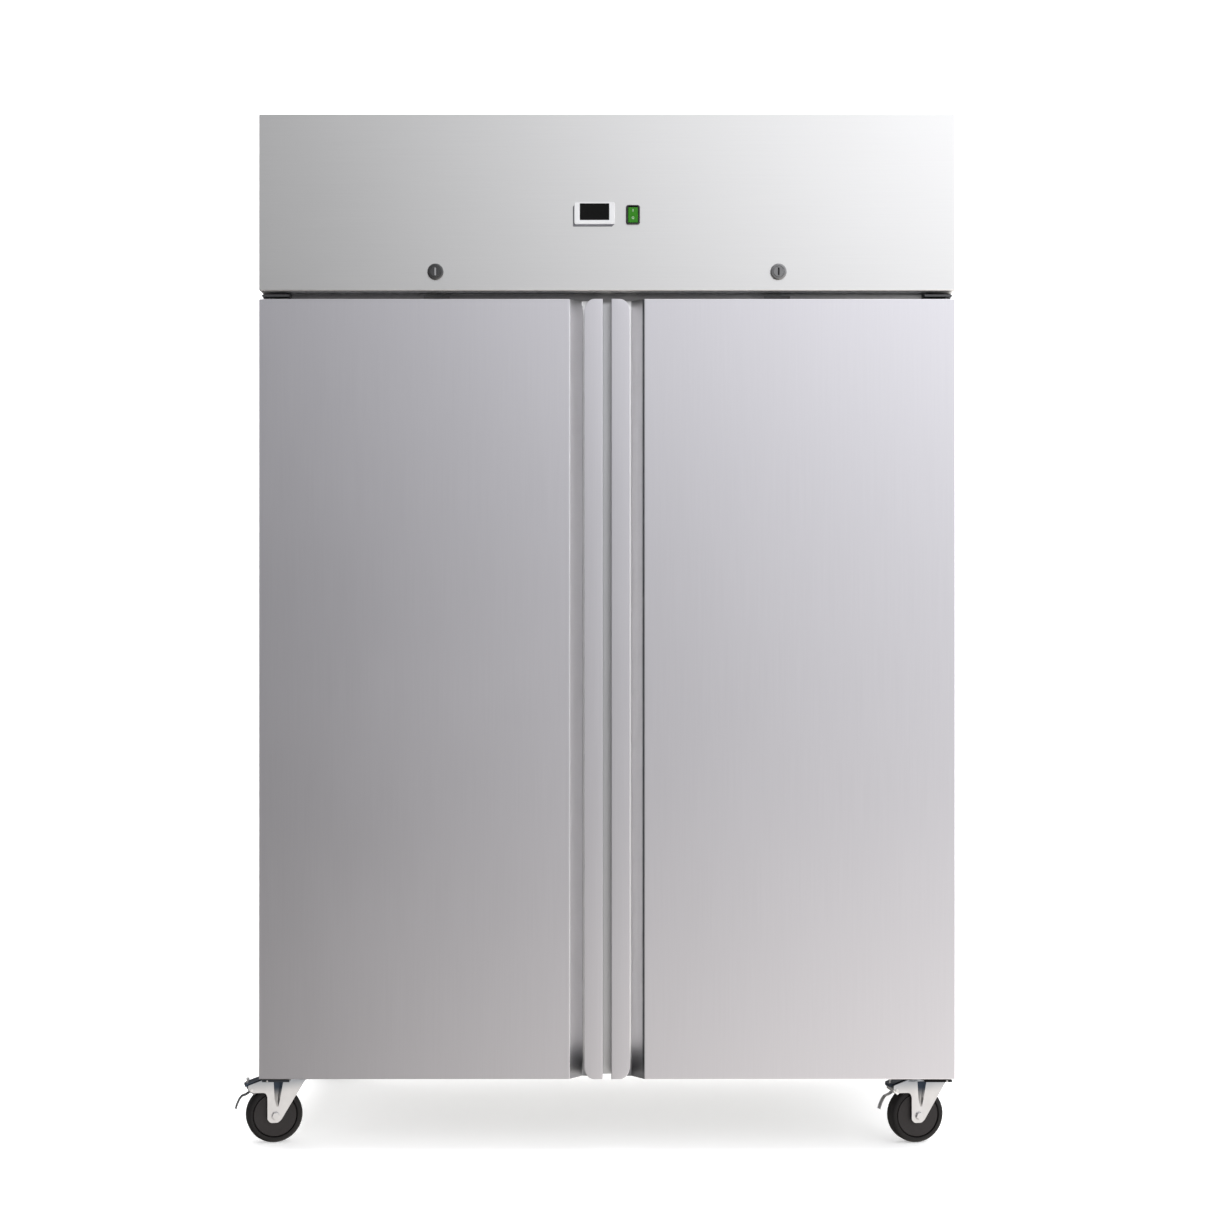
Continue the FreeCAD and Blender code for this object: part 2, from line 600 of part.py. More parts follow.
def caster_fork():
    """The fork itself, then its fittings: axle bolt, nut, brake arm and the arm's set screw."""
    out = LEG_IN + LEG_THICK
    crown = box(-CROWN_BEHIND, CROWN_AHEAD, -out, out, CROWN_TOP - CROWN_THICK, CROWN_TOP)
    race = rod(RACE_R, (0, 0, CROWN_TOP), (0, 0, CROWN_TOP + 5))
    legs = [prism(leg_outline(y), (0, LEG_THICK, 0)) for y in (-out, LEG_IN)]
    fork = crown.fuse([race] + legs)
    bore = rod(KING_PIN_R + PIVOT_CLEARANCE, (0, 0, CROWN_TOP - 10), (0, 0, CROWN_TOP + 10))
    axle_hole = rod(AXLE_R, (-TRAIL, -30, WHEEL_R), (-TRAIL, 30, WHEEL_R))
    fork = fork.cut(bore.fuse(axle_hole))
    axle = rod(AXLE_R, (-TRAIL, -out, WHEEL_R), (-TRAIL, out + 7, WHEEL_R))
    head = hexagon(13.0, 4.5, (-TRAIL, -out, WHEEL_R), (0, -1, 0))
    nut = hexagon(13.0, 5.0, (-TRAIL, out, WHEEL_R), (0, 1, 0))
    nut = nut.cut(axle)
    arm = prism([(-83, -13, 112), (-83, -13, 116.5), (-36, -13, CROWN_TOP + 3.5), (-36, -13, CROWN_TOP),
                 (-CROWN_BEHIND, -13, CROWN_TOP), (-56, -13, 120.5)], (0, 26, 0))
    screw = rod(2.5, (-77, 0, 113.5), (-77, 0, 128.5))
    return [fork, axle.fuse(head), nut, arm.cut(screw), screw]


def brake_pin():
    out = LEG_IN + LEG_THICK
    x, z = PEDAL_PIN
    return rod(PEDAL_PIN_R, (x, -out - 1, z), (x, out + 1, z))


def caster_wheel():
    """A solid tyre with rounded shoulders on a moulded core."""
    def turned(profile):
        points = [Vector(-TRAIL, y, WHEEL_R + r) for r, y in profile]
        face = Part.Face(Part.makePolygon(points + points[:1]))
        return face.revolve(Vector(-TRAIL, 0, WHEEL_R), Vector(0, 1, 0), 360)

    shoulder = [(WHEEL_R - 7 + 7 * math.sin(math.radians(a)),
                 WHEEL_HALF - 7 + 7 * math.cos(math.radians(a))) for a in (0, 22.5, 45, 67.5, 90)]
    tyre = [(HUB_R, -WHEEL_HALF)] + [(r, -y) for r, y in shoulder]
    tyre += list(reversed(shoulder)) + [(HUB_R, WHEEL_HALF)]
    bore = AXLE_R + PIVOT_CLEARANCE
    core = [(bore, -19), (13, -19), (14, -14), (HUB_R - 4, -13), (HUB_R, -15.5),
            (HUB_R, 15.5), (HUB_R - 4, 13), (14, 14), (13, 19), (bore, 19)]
    return [turned(tyre), turned(core)]


def brake_pedal():
    """A sleeve on the brake pin, the shoe that bears on the tyre and the tread bent down behind."""
    px, pz = PEDAL_PIN
    half = 9.0
    line = [(px + 1, pz - 3), (-79.6, 97.0), (-84.2, 94.8), (-88.8, 93.4), (-95.0, 85.2), (-101.4, 67.6)]
    thick = 2.2
    upper = [(x, z) for x, z in line]
    lower = [(x + thick * 0.75, z - thick * 0.75) for x, z in reversed(line)]
    tread = prism([(x, -half, z) for x, z in upper + lower], (0, 2 * half, 0))
    sleeve = rod(6.0, (px, -18, pz), (px, 18, pz))
    to_wheel = Vector(-TRAIL - px, 0, WHEEL_R - pz)
    reach = to_wheel.Length - WHEEL_R - 1.2
    to_wheel.normalize()
    tip = Vector(px, 0, pz) + to_wheel * reach
    across = Vector(-to_wheel.z, 0, to_wheel.x) * 5
    start = Vector(px, 0, pz)
    shoe = [start + across, tip + across * 0.8, tip - across * 0.8, start - across]
    shoe = prism([(p.x, -10, p.z) for p in shoe], (0, 20, 0))
    bore = rod(PEDAL_PIN_R + PIVOT_CLEARANCE, (px, -20, pz), (px, 20, pz))
    return tread.fuse([sleeve, shoe]).cut(bore)


def caster_plate(x, y):
    """The fixed top plate with the upper race and the king pin."""
    z = CASTER_PAD_Z
    plate = box(x - PLATE_X / 2, x + PLATE_X / 2, y - PLATE_Y / 2, y + PLATE_Y / 2,
                z - PLATE_THICK, z)
    race = rod(RACE_R + 2, (x, y, CROWN_TOP + 5 + CLEAR), (x, y, z - PLATE_THICK))
    king = rod(KING_PIN_R, (x, y, CROWN_TOP - CROWN_THICK - 2), (x, y, CROWN_TOP + 5 + CLEAR))
    return plate.fuse([race, king])


def rear_spacer(side):
    """Packs the rear caster plates down to the level of the front ones."""
    return box(side * (CASTER_X - PLATE_X / 2), side * (CASTER_X + PLATE_X / 2),
               CASTER_REAR_Y - PLATE_Y / 2, CASTER_REAR_Y + PLATE_Y / 2, CASTER_PAD_Z, DOOR_BOTTOM)


def place_caster(shapes, x, y, turn):
    """Moves pieces from the caster's own frame to a corner, turned about the swivel axis."""
    placed = []
    for s in shapes:
        s = s.copy()
        s.rotate(Vector(0, 0, 0), Vector(0, 0, 1), turn)
        s.translate(Vector(x, y, 0))
        placed.append(s)
    return placed


CORNERS = {
    "front_left": (-CASTER_X, CASTER_FRONT_Y, SWIVEL),
    "front_right": (CASTER_X, CASTER_FRONT_Y, SWIVEL),
    "rear_left": (-CASTER_X, CASTER_REAR_Y, 180 + SWIVEL),
    "rear_right": (CASTER_X, CASTER_REAR_Y, 180 + SWIVEL),
}


def frame_bolts():
    """Hexagon bolts: four under each caster plate and two through each top hinge bracket."""
    bolts = []
    for x, y, _ in CORNERS.values():
        for dx in (-PLATE_BOLTS[0] / 2, PLATE_BOLTS[0] / 2):
            for dy in (-PLATE_BOLTS[1] / 2, PLATE_BOLTS[1] / 2):
                bolts.append(hexagon(10.0, 4.0, (x + dx, y + dy, CASTER_PAD_Z - PLATE_THICK),
                                     (0, 0, -1)))
    for side in (-1, 1):
        for u in (BRACKET_INNER + 9, BRACKET_OUTER - 22):
            bolts.append(rod(2.2, (side * u, BODY_FRONT - BRACKET_PLATE - 3, DOOR_TOP + 12.6),
                             (side * u, BODY_FRONT - BRACKET_PLATE, DOOR_TOP + 12.6)))
    return bolts


# Shelving.

def wire_shelf(x, z):
    """A wire shelf: two edge rods, four thinner cross rods and wires let into their tops."""
    x0, x1 = x - SHELF_WIDTH / 2, x + SHELF_WIDTH / 2
    y0, y1 = SHELF_FRONT, SHELF_FRONT + SHELF_DEPTH
    r = SHELF_ROD_R
    edges = [rod(r, (x, y0, z), (x, y1, z)) for x in (x0 + r, x1 - r)]
    cross = [rod(SHELF_CROSS_R, (x0 + r, y, z), (x1 - r, y, z))
             for y in (y0 + r, y0 + SHELF_DEPTH / 3, y0 + 2 * SHELF_DEPTH / 3, y1 - r)]
    wires = []
    step = (SHELF_WIDTH - 2 * r) / (SHELF_WIRES + 1)
    for k in range(1, SHELF_WIRES + 1):
        wire_x = x0 + r + k * step
        wires.append(rod(SHELF_WIRE_R, (wire_x, y0 + r, z + r), (wire_x, y1 - r, z + r)))
    return edges[0].fuse(edges[1:] + cross + wires)


def wire_shelves(side):
    first = wire_shelf(side * SHELF_CENTRE_X, SHELF_HEIGHTS[0])
    shelves = []
    for z in SHELF_HEIGHTS:
        shelf = first.copy()
        shelf.translate(Vector(0, 0, z - SHELF_HEIGHTS[0]))
        shelves.append(shelf)
    return shelves


def slotted_strip(x0, x1, low, y):
    """A hollow upright from x0 to x1, with a column of slots through both of its broad faces."""
    t = PILASTER_SHEET
    half = PILASTER_HALF
    strip = box(x0, x1, y - half, y + half, low, PILASTER_TOP)
    hollow = box(min(x0, x1) + t, max(x0, x1) - t, y - half + t, y + half - t, low, PILASTER_TOP)
    slots = [box(min(x0, x1) - 1, max(x0, x1) + 1, y - 5, y + 5, z, z + 14)
             for z in range(int(low) + 30, int(PILASTER_TOP) - 40, int(PILASTER_PITCH))]
    return strip.cut(hollow).cut(Part.makeCompound(slots))


def shelf_pilasters():
    """Slotted uprights: two on each wall, and a pair of posts in the middle of the cabinet."""
    low = CAVITY_FLOOR + COVE + 5
    strips = [slotted_strip(side * CAVITY_SIDE, side * (CAVITY_SIDE - PILASTER_DEPTH), low, y)
              for side in (-1, 1) for y in PILASTER_Y]
    posts = [slotted_strip(-PILASTER_DEPTH, PILASTER_DEPTH, CAVITY_FLOOR, y) for y in PILASTER_Y]
    return strips + posts


def shelf_slides():
    """Angle rails that the shelves rest on, one pair for each shelf."""
    rails = []
    for side in (-1, 1):
        for z in SHELF_HEIGHTS:
            seat = z - SHELF_ROD_R
            for edge, inward in ((side * (CAVITY_SIDE - PILASTER_DEPTH), -side),
                                 (side * PILASTER_DEPTH, side)):
                leg = box(edge, edge + inward * SLIDE_LEG, SHELF_FRONT, SHELF_FRONT + SHELF_DEPTH,
                          seat - SLIDE_SHEET, seat)
                upright = box(edge, edge + inward * SLIDE_SHEET, SHELF_FRONT,
                              SHELF_FRONT + SHELF_DEPTH, seat, seat + SLIDE_UP)
                rails.append(leg.fuse(upright))
    return rails


# Cold-air unit under the ceiling.

def evaporator_cover():
    """A folded tray that hangs from the ceiling, with two fan openings and a drain spout."""
    t = 1.2
    x = COVER_SIDE
    front_foot = COVER_FRONT + 60

    def outline(inset):
        return [(-x + inset, COVER_FRONT + inset, CAVITY_TOP),
                (-x + inset, COVER_FRONT + inset, 1460 + inset / 2),
                (-x + inset, front_foot + inset, COVER_BOTTOM + inset),
                (-x + inset, CAVITY_BACK, COVER_BOTTOM + inset),
                (-x + inset, CAVITY_BACK, CAVITY_TOP)]

    shell = prism(outline(0), (2 * x, 0, 0))
    shell = shell.cut(prism(outline(t), (2 * (x - t), 0, 0)))
    cuts = [rod(COOLING_FAN_R + 6, (side * COOLING_FAN_X, COVER_FRONT - 5, COOLING_FAN_Z),
                (side * COOLING_FAN_X, COVER_FRONT + 5, COOLING_FAN_Z)) for side in (-1, 1)]
    slot_rows = [box(-x + 60, x - 60, 150 + 24 * k, 160 + 24 * k, COVER_BOTTOM - 2, COVER_BOTTOM + 4)
                 for k in range(6)]
    bars = [box(c - 6, c + 6, 140, 300, COVER_BOTTOM - 3, COVER_BOTTOM + 5)
            for c in range(-400, 401, 100)]
    slots = Part.makeCompound(slot_rows).cut(Part.makeCompound(bars))
    return shell.cut(Part.makeCompound(cuts)).cut(slots)


def finned_block(x0, x1, y0, y1, z0, z1, fins, tube_rows):
    """A fin-and-tube coil: end plates, thin fins and return-bend tubes pressed through them."""
    step = (x1 - x0) / (fins - 1)
    plates = [box(x0 + k * step - 0.6, x0 + k * step + 0.6, y0, y1, z0, z1) for k in range(fins)]
    tubes = [rod(5.0, (x0 - 12, y, z), (x1 + 12, y, z)) for y, z in tube_rows]
    return plates[0].fuse(plates[1:] + tubes)


def evaporator_coil():
    rows = [(y, z) for y in (215, 255, 295) for z in (1475, 1515, 1555)]
    block = finned_block(-430, 430, 195, 315, 1450, 1580, 44, rows)
    return block.fuse(both_sides(lambda side: box(side * 429.4, side * 430.6, 195, 315, 1580, CAVITY_TOP)))


def fan_rotor(centre, radius, hub_radius, depth, blades, pitch):
    """A hub with twisted flat blades, turning about Y."""
    x, y, z = centre
    hub = rod(hub_radius, (x, y - depth / 2, z), (x, y + depth / 2, z))
    shapes = []
    for k in range(blades):
        blade = prism([(hub_radius - 3, -0.8, -radius * 0.16), (radius, -0.8, -radius * 0.30),
                       (radius, -0.8, radius * 0.30), (hub_radius - 3, -0.8, radius * 0.16)],
                      (0, 1.6, 0))
        blade = blade.common(rod(radius, (0, -5, 0), (0, 5, 0)))
        blade.rotate(Vector(0, 0, 0), Vector(1, 0, 0), pitch)
        blade.rotate(Vector(0, 0, 0), Vector(0, 1, 0), 360 / blades * k)
        blade.translate(Vector(x, y, z))
        shapes.append(blade)
    return hub.fuse(shapes)


def cooling_fan(side):
    centre = (side * COOLING_FAN_X, COVER_FRONT + 32, COOLING_FAN_Z)
    rotor = fan_rotor(centre, COOLING_FAN_R, 18.0, 18.0, 5, 28)
    x, y, z = centre
    return rotor.cut(rod(3.06, (x, y - 5, z), (x, y + 20, z)))


def cooling_fan_motors():
    """Two square-framed motors on three-arm spiders behind the cover's openings."""
    motors = []
    for side in (-1, 1):
        x, z = side * COOLING_FAN_X, COOLING_FAN_Z
        y = COVER_FRONT + 32
        body = rod(26.0, (x, y + 16, z), (x, y + 56, z))
        shaft = rod(3.0, (x, y - 2, z), (x, y + 16, z))
        arms = []
        for angle in (90, 210, 330):
            dx, dz = math.cos(math.radians(angle)), math.sin(math.radians(angle))
            arms.append(rod(3.0, (x + 20 * dx, y + 24, z + 20 * dz), (x + 76 * dx, y + 24, z + 76 * dz)))
            arms.append(rod(3.0, (x + 73 * dx, COVER_FRONT + 1.2, z + 73 * dz),
                            (x + 73 * dx, y + 24, z + 73 * dz)))
        motors.append(body.fuse([shaft] + arms))
    return motors


def fan_guards():
    """Round wire guards over the cover's two openings."""
    guards = []
    for side in (-1, 1):
        x, z = side * COOLING_FAN_X, COOLING_FAN_Z
        y = COVER_FRONT - 3
        rings = [Part.makeTorus(r, 1.6, Vector(x, y, z), Vector(0, 1, 0)) for r in (24, 40, 56, 72)]
        spokes = []
        for angle in (45, 135, 225, 315):
            dx, dz = math.cos(math.radians(angle)), math.sin(math.radians(angle))
            spokes.append(rod(1.6, (x + 18 * dx, y + 1.4, z + 18 * dz),
                              (x + 74 * dx, y + 1.4, z + 74 * dz)))
        spokes.append(rod(19.0, (x, y + 0.4, z), (x, y + 2.4, z)))
        guards.append(rings[0].fuse(rings[1:] + spokes))
    return guards


# Condensing unit in the machine compartment.

def compressor():
    """A welded hermetic shell with its feet plate and stubs."""
    x, y = -330.0, 110.0
    base = DECK + 14
    shell = rod(82.0, (x, y, base + 22), (x, y, base + 150))
    rims = [e for e in shell.Edges if e.Curve.TypeId == "Part::GeomCircle"]
    shell = shell.makeFillet(34.0, rims)
    seam = rod(85.0, (x, y, base + 92), (x, y, base + 98))
    feet = box(x - 105, x + 105, y - 62, y + 62, base, base + 4)
    skirt = rod(60.0, (x, y, base + 4), (x, y, base + 40))
    terminal = box(x - 30, x + 30, y - 108, y - 70, base + 60, base + 116)
    body = shell.fuse([seam, feet, skirt, terminal])
    holes = [rod(6.0, (x + dx, y + dy, base - 1), (x + dx, y + dy, base + 5))
             for dx in (-90, 90) for dy in (-48, 48)]
    return body.cut(Part.makeCompound(holes))


def compressor_grommets():
    x, y = -330.0, 110.0
    posts = []
    for dx in (-90, 90):
        for dy in (-48, 48):
            post = rod(13.0, (x + dx, y + dy, DECK), (x + dx, y + dy, DECK + 14))
            neck = rod(6.0, (x + dx, y + dy, DECK + 14), (x + dx, y + dy, DECK + 18))
            cap = rod(10.0, (x + dx, y + dy, DECK + 18), (x + dx, y + dy, DECK + 23))
            posts.append(post.fuse([neck, cap]))
    return posts


def condenser():
    rows = [(y, z) for y in (-60, -30, 0) for z in range(1730, 1941, 42)]
    return finned_block(60, 360, -78, 16, DECK + 25, DECK + 315, 40, rows)


def condenser_shroud():
    """A sheet box behind the coil with the fan's round opening, standing on the deck."""
    x, _, z = CONDENSER_FAN
    shell = box(44, 376, 17, 98, DECK, DECK + 325)
    shell = shell.cut(box(45.2, 374.8, 17, 96.8, DECK + 1.2, DECK + 323.8))
    shell = shell.cut(rod(CONDENSER_FAN_R + 6, (x, 90, z), (x, 110, z)))
    stand = box(44, 376, -90, 17, DECK, DECK + 1.2)
    sides = both_sides(lambda s: box(x + s * 164.8, x + s * 166, -90, 17, DECK + 1.2, DECK + 40))
    rests = both_sides(lambda s: box(x + s * 100, x + s * 140, -78, 16, DECK + 1.2, DECK + 25))
    return shell.fuse([stand] + sides + rests)


def condenser_fan():
    x, y, z = CONDENSER_FAN
    rotor = fan_rotor((x, y, z), CONDENSER_FAN_R, 24.0, 22.0, 5, 26)
    return rotor.cut(rod(4.06, (x, y - 6, z), (x, y + 20, z)))


def condenser_fan_motor():
    x, y, z = CONDENSER_FAN
    body = rod(38.0, (x, y + 34, z), (x, y + 86, z))
    shaft = rod(4.0, (x, y - 4, z), (x, y + 34, z))
    arms = []
    for angle in (45, 135, 225, 315):
        dx, dz = math.cos(math.radians(angle)), math.sin(math.radians(angle))
        arms.append(rod(3.0, (x + 30 * dx, y + 46, z + 30 * dz), (x + 128 * dx, y + 46, z + 128 * dz)))
        arms.append(rod(3.0, (x + 125 * dx, 98, z + 125 * dz), (x + 125 * dx, y + 46, z + 125 * dz)))
    return body.fuse([shaft] + arms)


def pipe(points, radius):
    """Copper pipe along straight runs with ball-jointed corners."""
    runs = [rod(radius, a, b) for a, b in zip(points, points[1:])]
    knees = [Part.makeSphere(radius, Vector(*p)) for p in points[1:-1]]
    return runs[0].fuse(runs[1:] + knees)


def refrigerant_pipes():
    """Discharge to the coil, liquid line with its drier, and the suction line back."""
    top = 1856
    discharge = pipe([(-248, 110, 1760), (-180, 110, 1760), (-180, 110, top), (-180, -110, top),
                      (20, -110, top), (20, -60, top), (48, -60, top)], 4.0)
    liquid = pipe([(48, -30, 1730), (0, -30, 1730), (0, -30, 1700), (-40, -30, 1700)], 3.2)
    drier = rod(12.0, (-40, -30, 1700), (-150, -30, 1700))
    feed = pipe([(-150, -30, 1700), (-180, -30, 1700), (-180, 320, 1700), (-180, 320, DECK)], 2.4)
    suction = pipe([(-248, 110, 1730), (-210, 110, 1730), (-210, 345, 1730), (-210, 345, DECK)], 5.0)
    return [discharge, liquid.fuse([drier, feed]), suction]


def condensate_tray():
    tray = box(-150, 0, 170, 380, DECK, DECK + 45)
    return tray.cut(box(-148.5, -1.5, 171.5, 378.5, DECK + 1.5, DECK + 45))


def power_box():
    """Terminal box with its lid, on the deck at the right."""
    body = box(440, 620, 150, 290, DECK, DECK + 130)
    lid = box(436, 624, 146, 294, DECK + 130, DECK + 142)
    knock = rod(12.0, (470, 290, DECK + 40), (470, 300, DECK + 40))
    return body.fuse([lid, knock])


def cable_gland():
    """A compression gland through the back sheet, with a clear bore for the supply lead."""
    y = BACK
    centre = (560, 1700)
    body = rod(9.0, (centre[0], y - SHEET - 9, centre[1]), (centre[0], y + 2, centre[1]))
    flange = hexagon(24.0, 5.0, (centre[0], y, centre[1]), (0, 1, 0))
    inner_nut = hexagon(24.0, 4.0, (centre[0], y - SHEET, centre[1]), (0, -1, 0))
    dome = rod(10.5, (centre[0], y + 5, centre[1]), (centre[0], y + 12, centre[1]))
    bore = rod(4.5, (centre[0], y - 30, centre[1]), (centre[0], y + 30, centre[1]))
    return body.fuse([flange, inner_nut, dome]).cut(bore)


def build():
    os.makedirs("parts", exist_ok=True)
    for side, name in ((-1, "left"), (1, "right")):
        export(f"side_panel_{name}", side_panel(side))
        export(f"door_{name}_skin", door_skin(side), lock_strike(side))
        export(f"door_{name}_foam", door_foam(side))
        export(f"door_{name}_liner", door_liner(side))
        export(f"door_{name}_gasket", door_gasket(side))
        export(f"door_{name}_pivot_bushes", *door_bushes(side))
        export(f"lock_cylinder_{name}", lock_cylinder(side))
        export(f"cooling_fan_{name}", cooling_fan(side))
    export("back_panel", back_panel())
    export("base_panel", base_panel())
    export("machine_deck", machine_deck())
    export("inner_liner", inner_liner())
    export("cabinet_foam", cabinet_foam())
    export("front_frame", front_frame())
    export("centre_mullion", centre_mullion())
    export("top_cover", top_cover())
    export("rear_grille", rear_grille())
    export("hinge_brackets", *both_sides(top_hinge_bracket), *both_sides(bottom_hinge_bracket),
           *both_sides(header_pivot))
    export("header_panel", header_panel())
    export("controller_case", controller_case())
    export("controller_display", controller_display())
    export("switch_frame", switch_frame())
    export("switch_rocker", switch_rocker())
    export("lock_barrels", *both_sides(lock_barrel))
    fork, *fittings = caster_fork()
    pin = brake_pin()
    wheel = caster_wheel()
    for corner, (x, y, turn) in CORNERS.items():
        braked = corner.startswith("front")
        pieces = [fork.cut(pin), *fittings, pin] if braked else [fork, *fittings]
        export(f"caster_fork_{corner}", *place_caster(pieces, x, y, turn))
        export(f"caster_wheel_{corner}", *place_caster(wheel, x, y, turn))
        if braked:
            export(f"brake_pedal_{corner}", *place_caster([brake_pedal()], x, y, turn))
    export("caster_plates", *[caster_plate(x, y) for x, y, _ in CORNERS.values()],
           *both_sides(rear_spacer))
    export("frame_bolts", *frame_bolts())
    export("shelf_pilasters", *shelf_pilasters())
    export("shelf_slides", *shelf_slides())
    export("wire_shelves", *wire_shelves(-1), *wire_shelves(1))
    export("evaporator_cover", evaporator_cover(), *fan_guards())
    export("evaporator_coil", evaporator_coil())
    export("cooling_fan_motors", *cooling_fan_motors())
    export("compressor", compressor())
    export("compressor_grommets", *compressor_grommets())
    export("condenser", condenser())
    export("condenser_shroud", condenser_shroud())
    export("condenser_fan", condenser_fan())
    export("condenser_fan_motor", condenser_fan_motor())
    export("refrigerant_pipes", *refrigerant_pipes())
    export("condensate_tray", condensate_tray())
    export("power_box", power_box())
    export("cable_gland", cable_gland())


build()
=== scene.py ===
"""Looks for the two-door reach-in refrigerator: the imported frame, finished pieces, floor, lights, camera.

Lengths are written in millimetres in the part's own frame and turned to metres by MM.
"""
import math

import bmesh
import bpy
from mathutils import Matrix, Vector


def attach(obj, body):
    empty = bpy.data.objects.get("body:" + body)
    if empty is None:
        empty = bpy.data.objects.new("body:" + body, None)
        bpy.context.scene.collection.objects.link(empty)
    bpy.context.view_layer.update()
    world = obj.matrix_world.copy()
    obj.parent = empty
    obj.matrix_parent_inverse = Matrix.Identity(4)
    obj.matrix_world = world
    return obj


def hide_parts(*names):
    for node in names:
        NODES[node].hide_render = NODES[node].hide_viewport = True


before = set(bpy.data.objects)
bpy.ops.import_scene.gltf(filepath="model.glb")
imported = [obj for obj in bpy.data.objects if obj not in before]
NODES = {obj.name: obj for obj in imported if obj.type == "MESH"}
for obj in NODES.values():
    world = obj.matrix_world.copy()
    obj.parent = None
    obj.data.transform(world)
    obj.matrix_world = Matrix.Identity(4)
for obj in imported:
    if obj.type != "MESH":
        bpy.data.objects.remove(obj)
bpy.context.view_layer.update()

MM = 0.001
SCENE = bpy.context.scene

# Sizes shared with the CAD model, in millimetres.
SIDE = 670.0
FRONT = -405.0
BACK = 405.0
DOOR_BOTTOM = 142.0
DOOR_TOP = 1644.0
HEADER_BOTTOM = 1660.0
HEIGHT = 2000.0
LOCK_X = 330.0
LOCK_Z = 1696.0
CONTROLLER = (-24.0, 1808.5)
SWITCH = (50.0, 1805.6)
TRAIL = 25.4
WHEEL_R = 55.0
CROWN = 126.5
CROWN_AHEAD = 35.0
PEDAL_PIN = (-72, 0, 107)
DOOR_PIVOT = (654, -377)
HEADER_REAR = -351.5
HEADER_PIVOT = (-357.0, 1994.5)


# Camera, level with the middle of the cabinet and looking straight at the doors.

def make_camera():
    data = bpy.data.cameras.new("camera")
    data.sensor_width = 36.0
    data.lens = 67.8
    data.clip_end = 60.0
    camera = bpy.data.objects.new("camera", data)
    camera.location = (0.0, -4.805, 1.051)
    camera.rotation_euler = (math.pi / 2, 0.0, 0.0)
    SCENE.collection.objects.link(camera)
    SCENE.camera = camera


make_camera()


# Materials.

def new_material(name):
    made = bpy.data.materials.new(name)
    made.use_nodes = True
    return made, made.node_tree.nodes, made.node_tree.links, made.node_tree.nodes["Principled BSDF"]


def noise(nodes, links, scale, stretch=(1, 1, 1), detail=3.0, roughness=0.5):
    """Noise in the object's own metres, stretched per axis: a small factor makes long streaks."""
    where = nodes.new("ShaderNodeTexCoord")
    mapping = nodes.new("ShaderNodeMapping")
    mapping.inputs["Scale"].default_value = stretch
    made = nodes.new("ShaderNodeTexNoise")
    made.inputs["Scale"].default_value = scale
    made.inputs["Detail"].default_value = detail
    made.inputs["Roughness"].default_value = roughness
    links.new(where.outputs["Object"], mapping.inputs["Vector"])
    links.new(mapping.outputs["Vector"], made.inputs["Vector"])
    return made.outputs["Fac"]


def remap(nodes, links, value, low, high, from_low=0.3, from_high=0.7):
    made = nodes.new("ShaderNodeMapRange")
    made.inputs["From Min"].default_value = from_low
    made.inputs["From Max"].default_value = from_high
    made.inputs["To Min"].default_value = low
    made.inputs["To Max"].default_value = high
    links.new(value, made.inputs["Value"])
    return made.outputs["Result"]


def blend_colours(nodes, links, factor, first, second):
    made = nodes.new("ShaderNodeMix")
    made.data_type = "RGBA"
    for key, colour in (("A", first), ("B", second)):
        socket = next(s for s in made.inputs if s.name == key and s.type == "RGBA")
        if isinstance(colour, bpy.types.NodeSocket):
            links.new(colour, socket)
        else:
            socket.default_value = (*colour, 1.0)
    links.new(factor, next(s for s in made.inputs if s.name == "Factor" and s.type == "VALUE"))
    return next(s for s in made.outputs if s.type == "RGBA")


def math_node(nodes, links, operation, *values):
    """A math node fed by sockets or plain numbers."""
    made = nodes.new("ShaderNodeMath")
    made.operation = operation
    for slot, value in zip(made.inputs, values):
        if isinstance(value, bpy.types.NodeSocket):
            links.new(value, slot)
        else:
            slot.default_value = value
    return made.outputs["Value"]


def ramp(nodes, links, value, start, end, low, high):
    """A smooth rise from low to high as value goes from start to end."""
    made = nodes.new("ShaderNodeMapRange")
    made.interpolation_type = "SMOOTHSTEP"
    for key, number in (("From Min", start), ("From Max", end), ("To Min", low), ("To Max", high)):
        made.inputs[key].default_value = number
    links.new(value, made.inputs["Value"])
    return made.outputs["Result"]


def bump(nodes, links, heights):
    """Bumps chained from (height socket, strength, distance in metres)."""
    normal = None
    for height, strength, distance in heights:
        made = nodes.new("ShaderNodeBump")
        made.inputs["Strength"].default_value = strength
        made.inputs["Distance"].default_value = distance
        links.new(height, made.inputs["Height"])
        if normal is not None:
            links.new(normal, made.inputs["Normal"])
        normal = made.outputs["Normal"]
    return normal


def steel(name, dark, light, rough, grain=(1, 1, 0.012), streak=420.0, relief=0.035, smudge=0.012):
    """Satin sheet brushed one way: hair lines in tone, gloss and relief, and faint handling marks."""
    made, nodes, links, shader = new_material(name)
    hair = noise(nodes, links, streak, grain, 3.0, 0.6)
    marks = noise(nodes, links, 2.1, detail=3.0)
    links.new(blend_colours(nodes, links, remap(nodes, links, hair, 0.0, 1.0), dark, light),
              shader.inputs["Base Color"])
    gloss = math_node(nodes, links, "ADD", remap(nodes, links, marks, rough - smudge, rough + smudge),
                      remap(nodes, links, hair, -0.012, 0.012))
    links.new(gloss, shader.inputs["Roughness"])
    links.new(bump(nodes, links, [(hair, relief, 0.0001)]), shader.inputs["Normal"])
    shader.inputs["Metallic"].default_value = 1.0
    return made


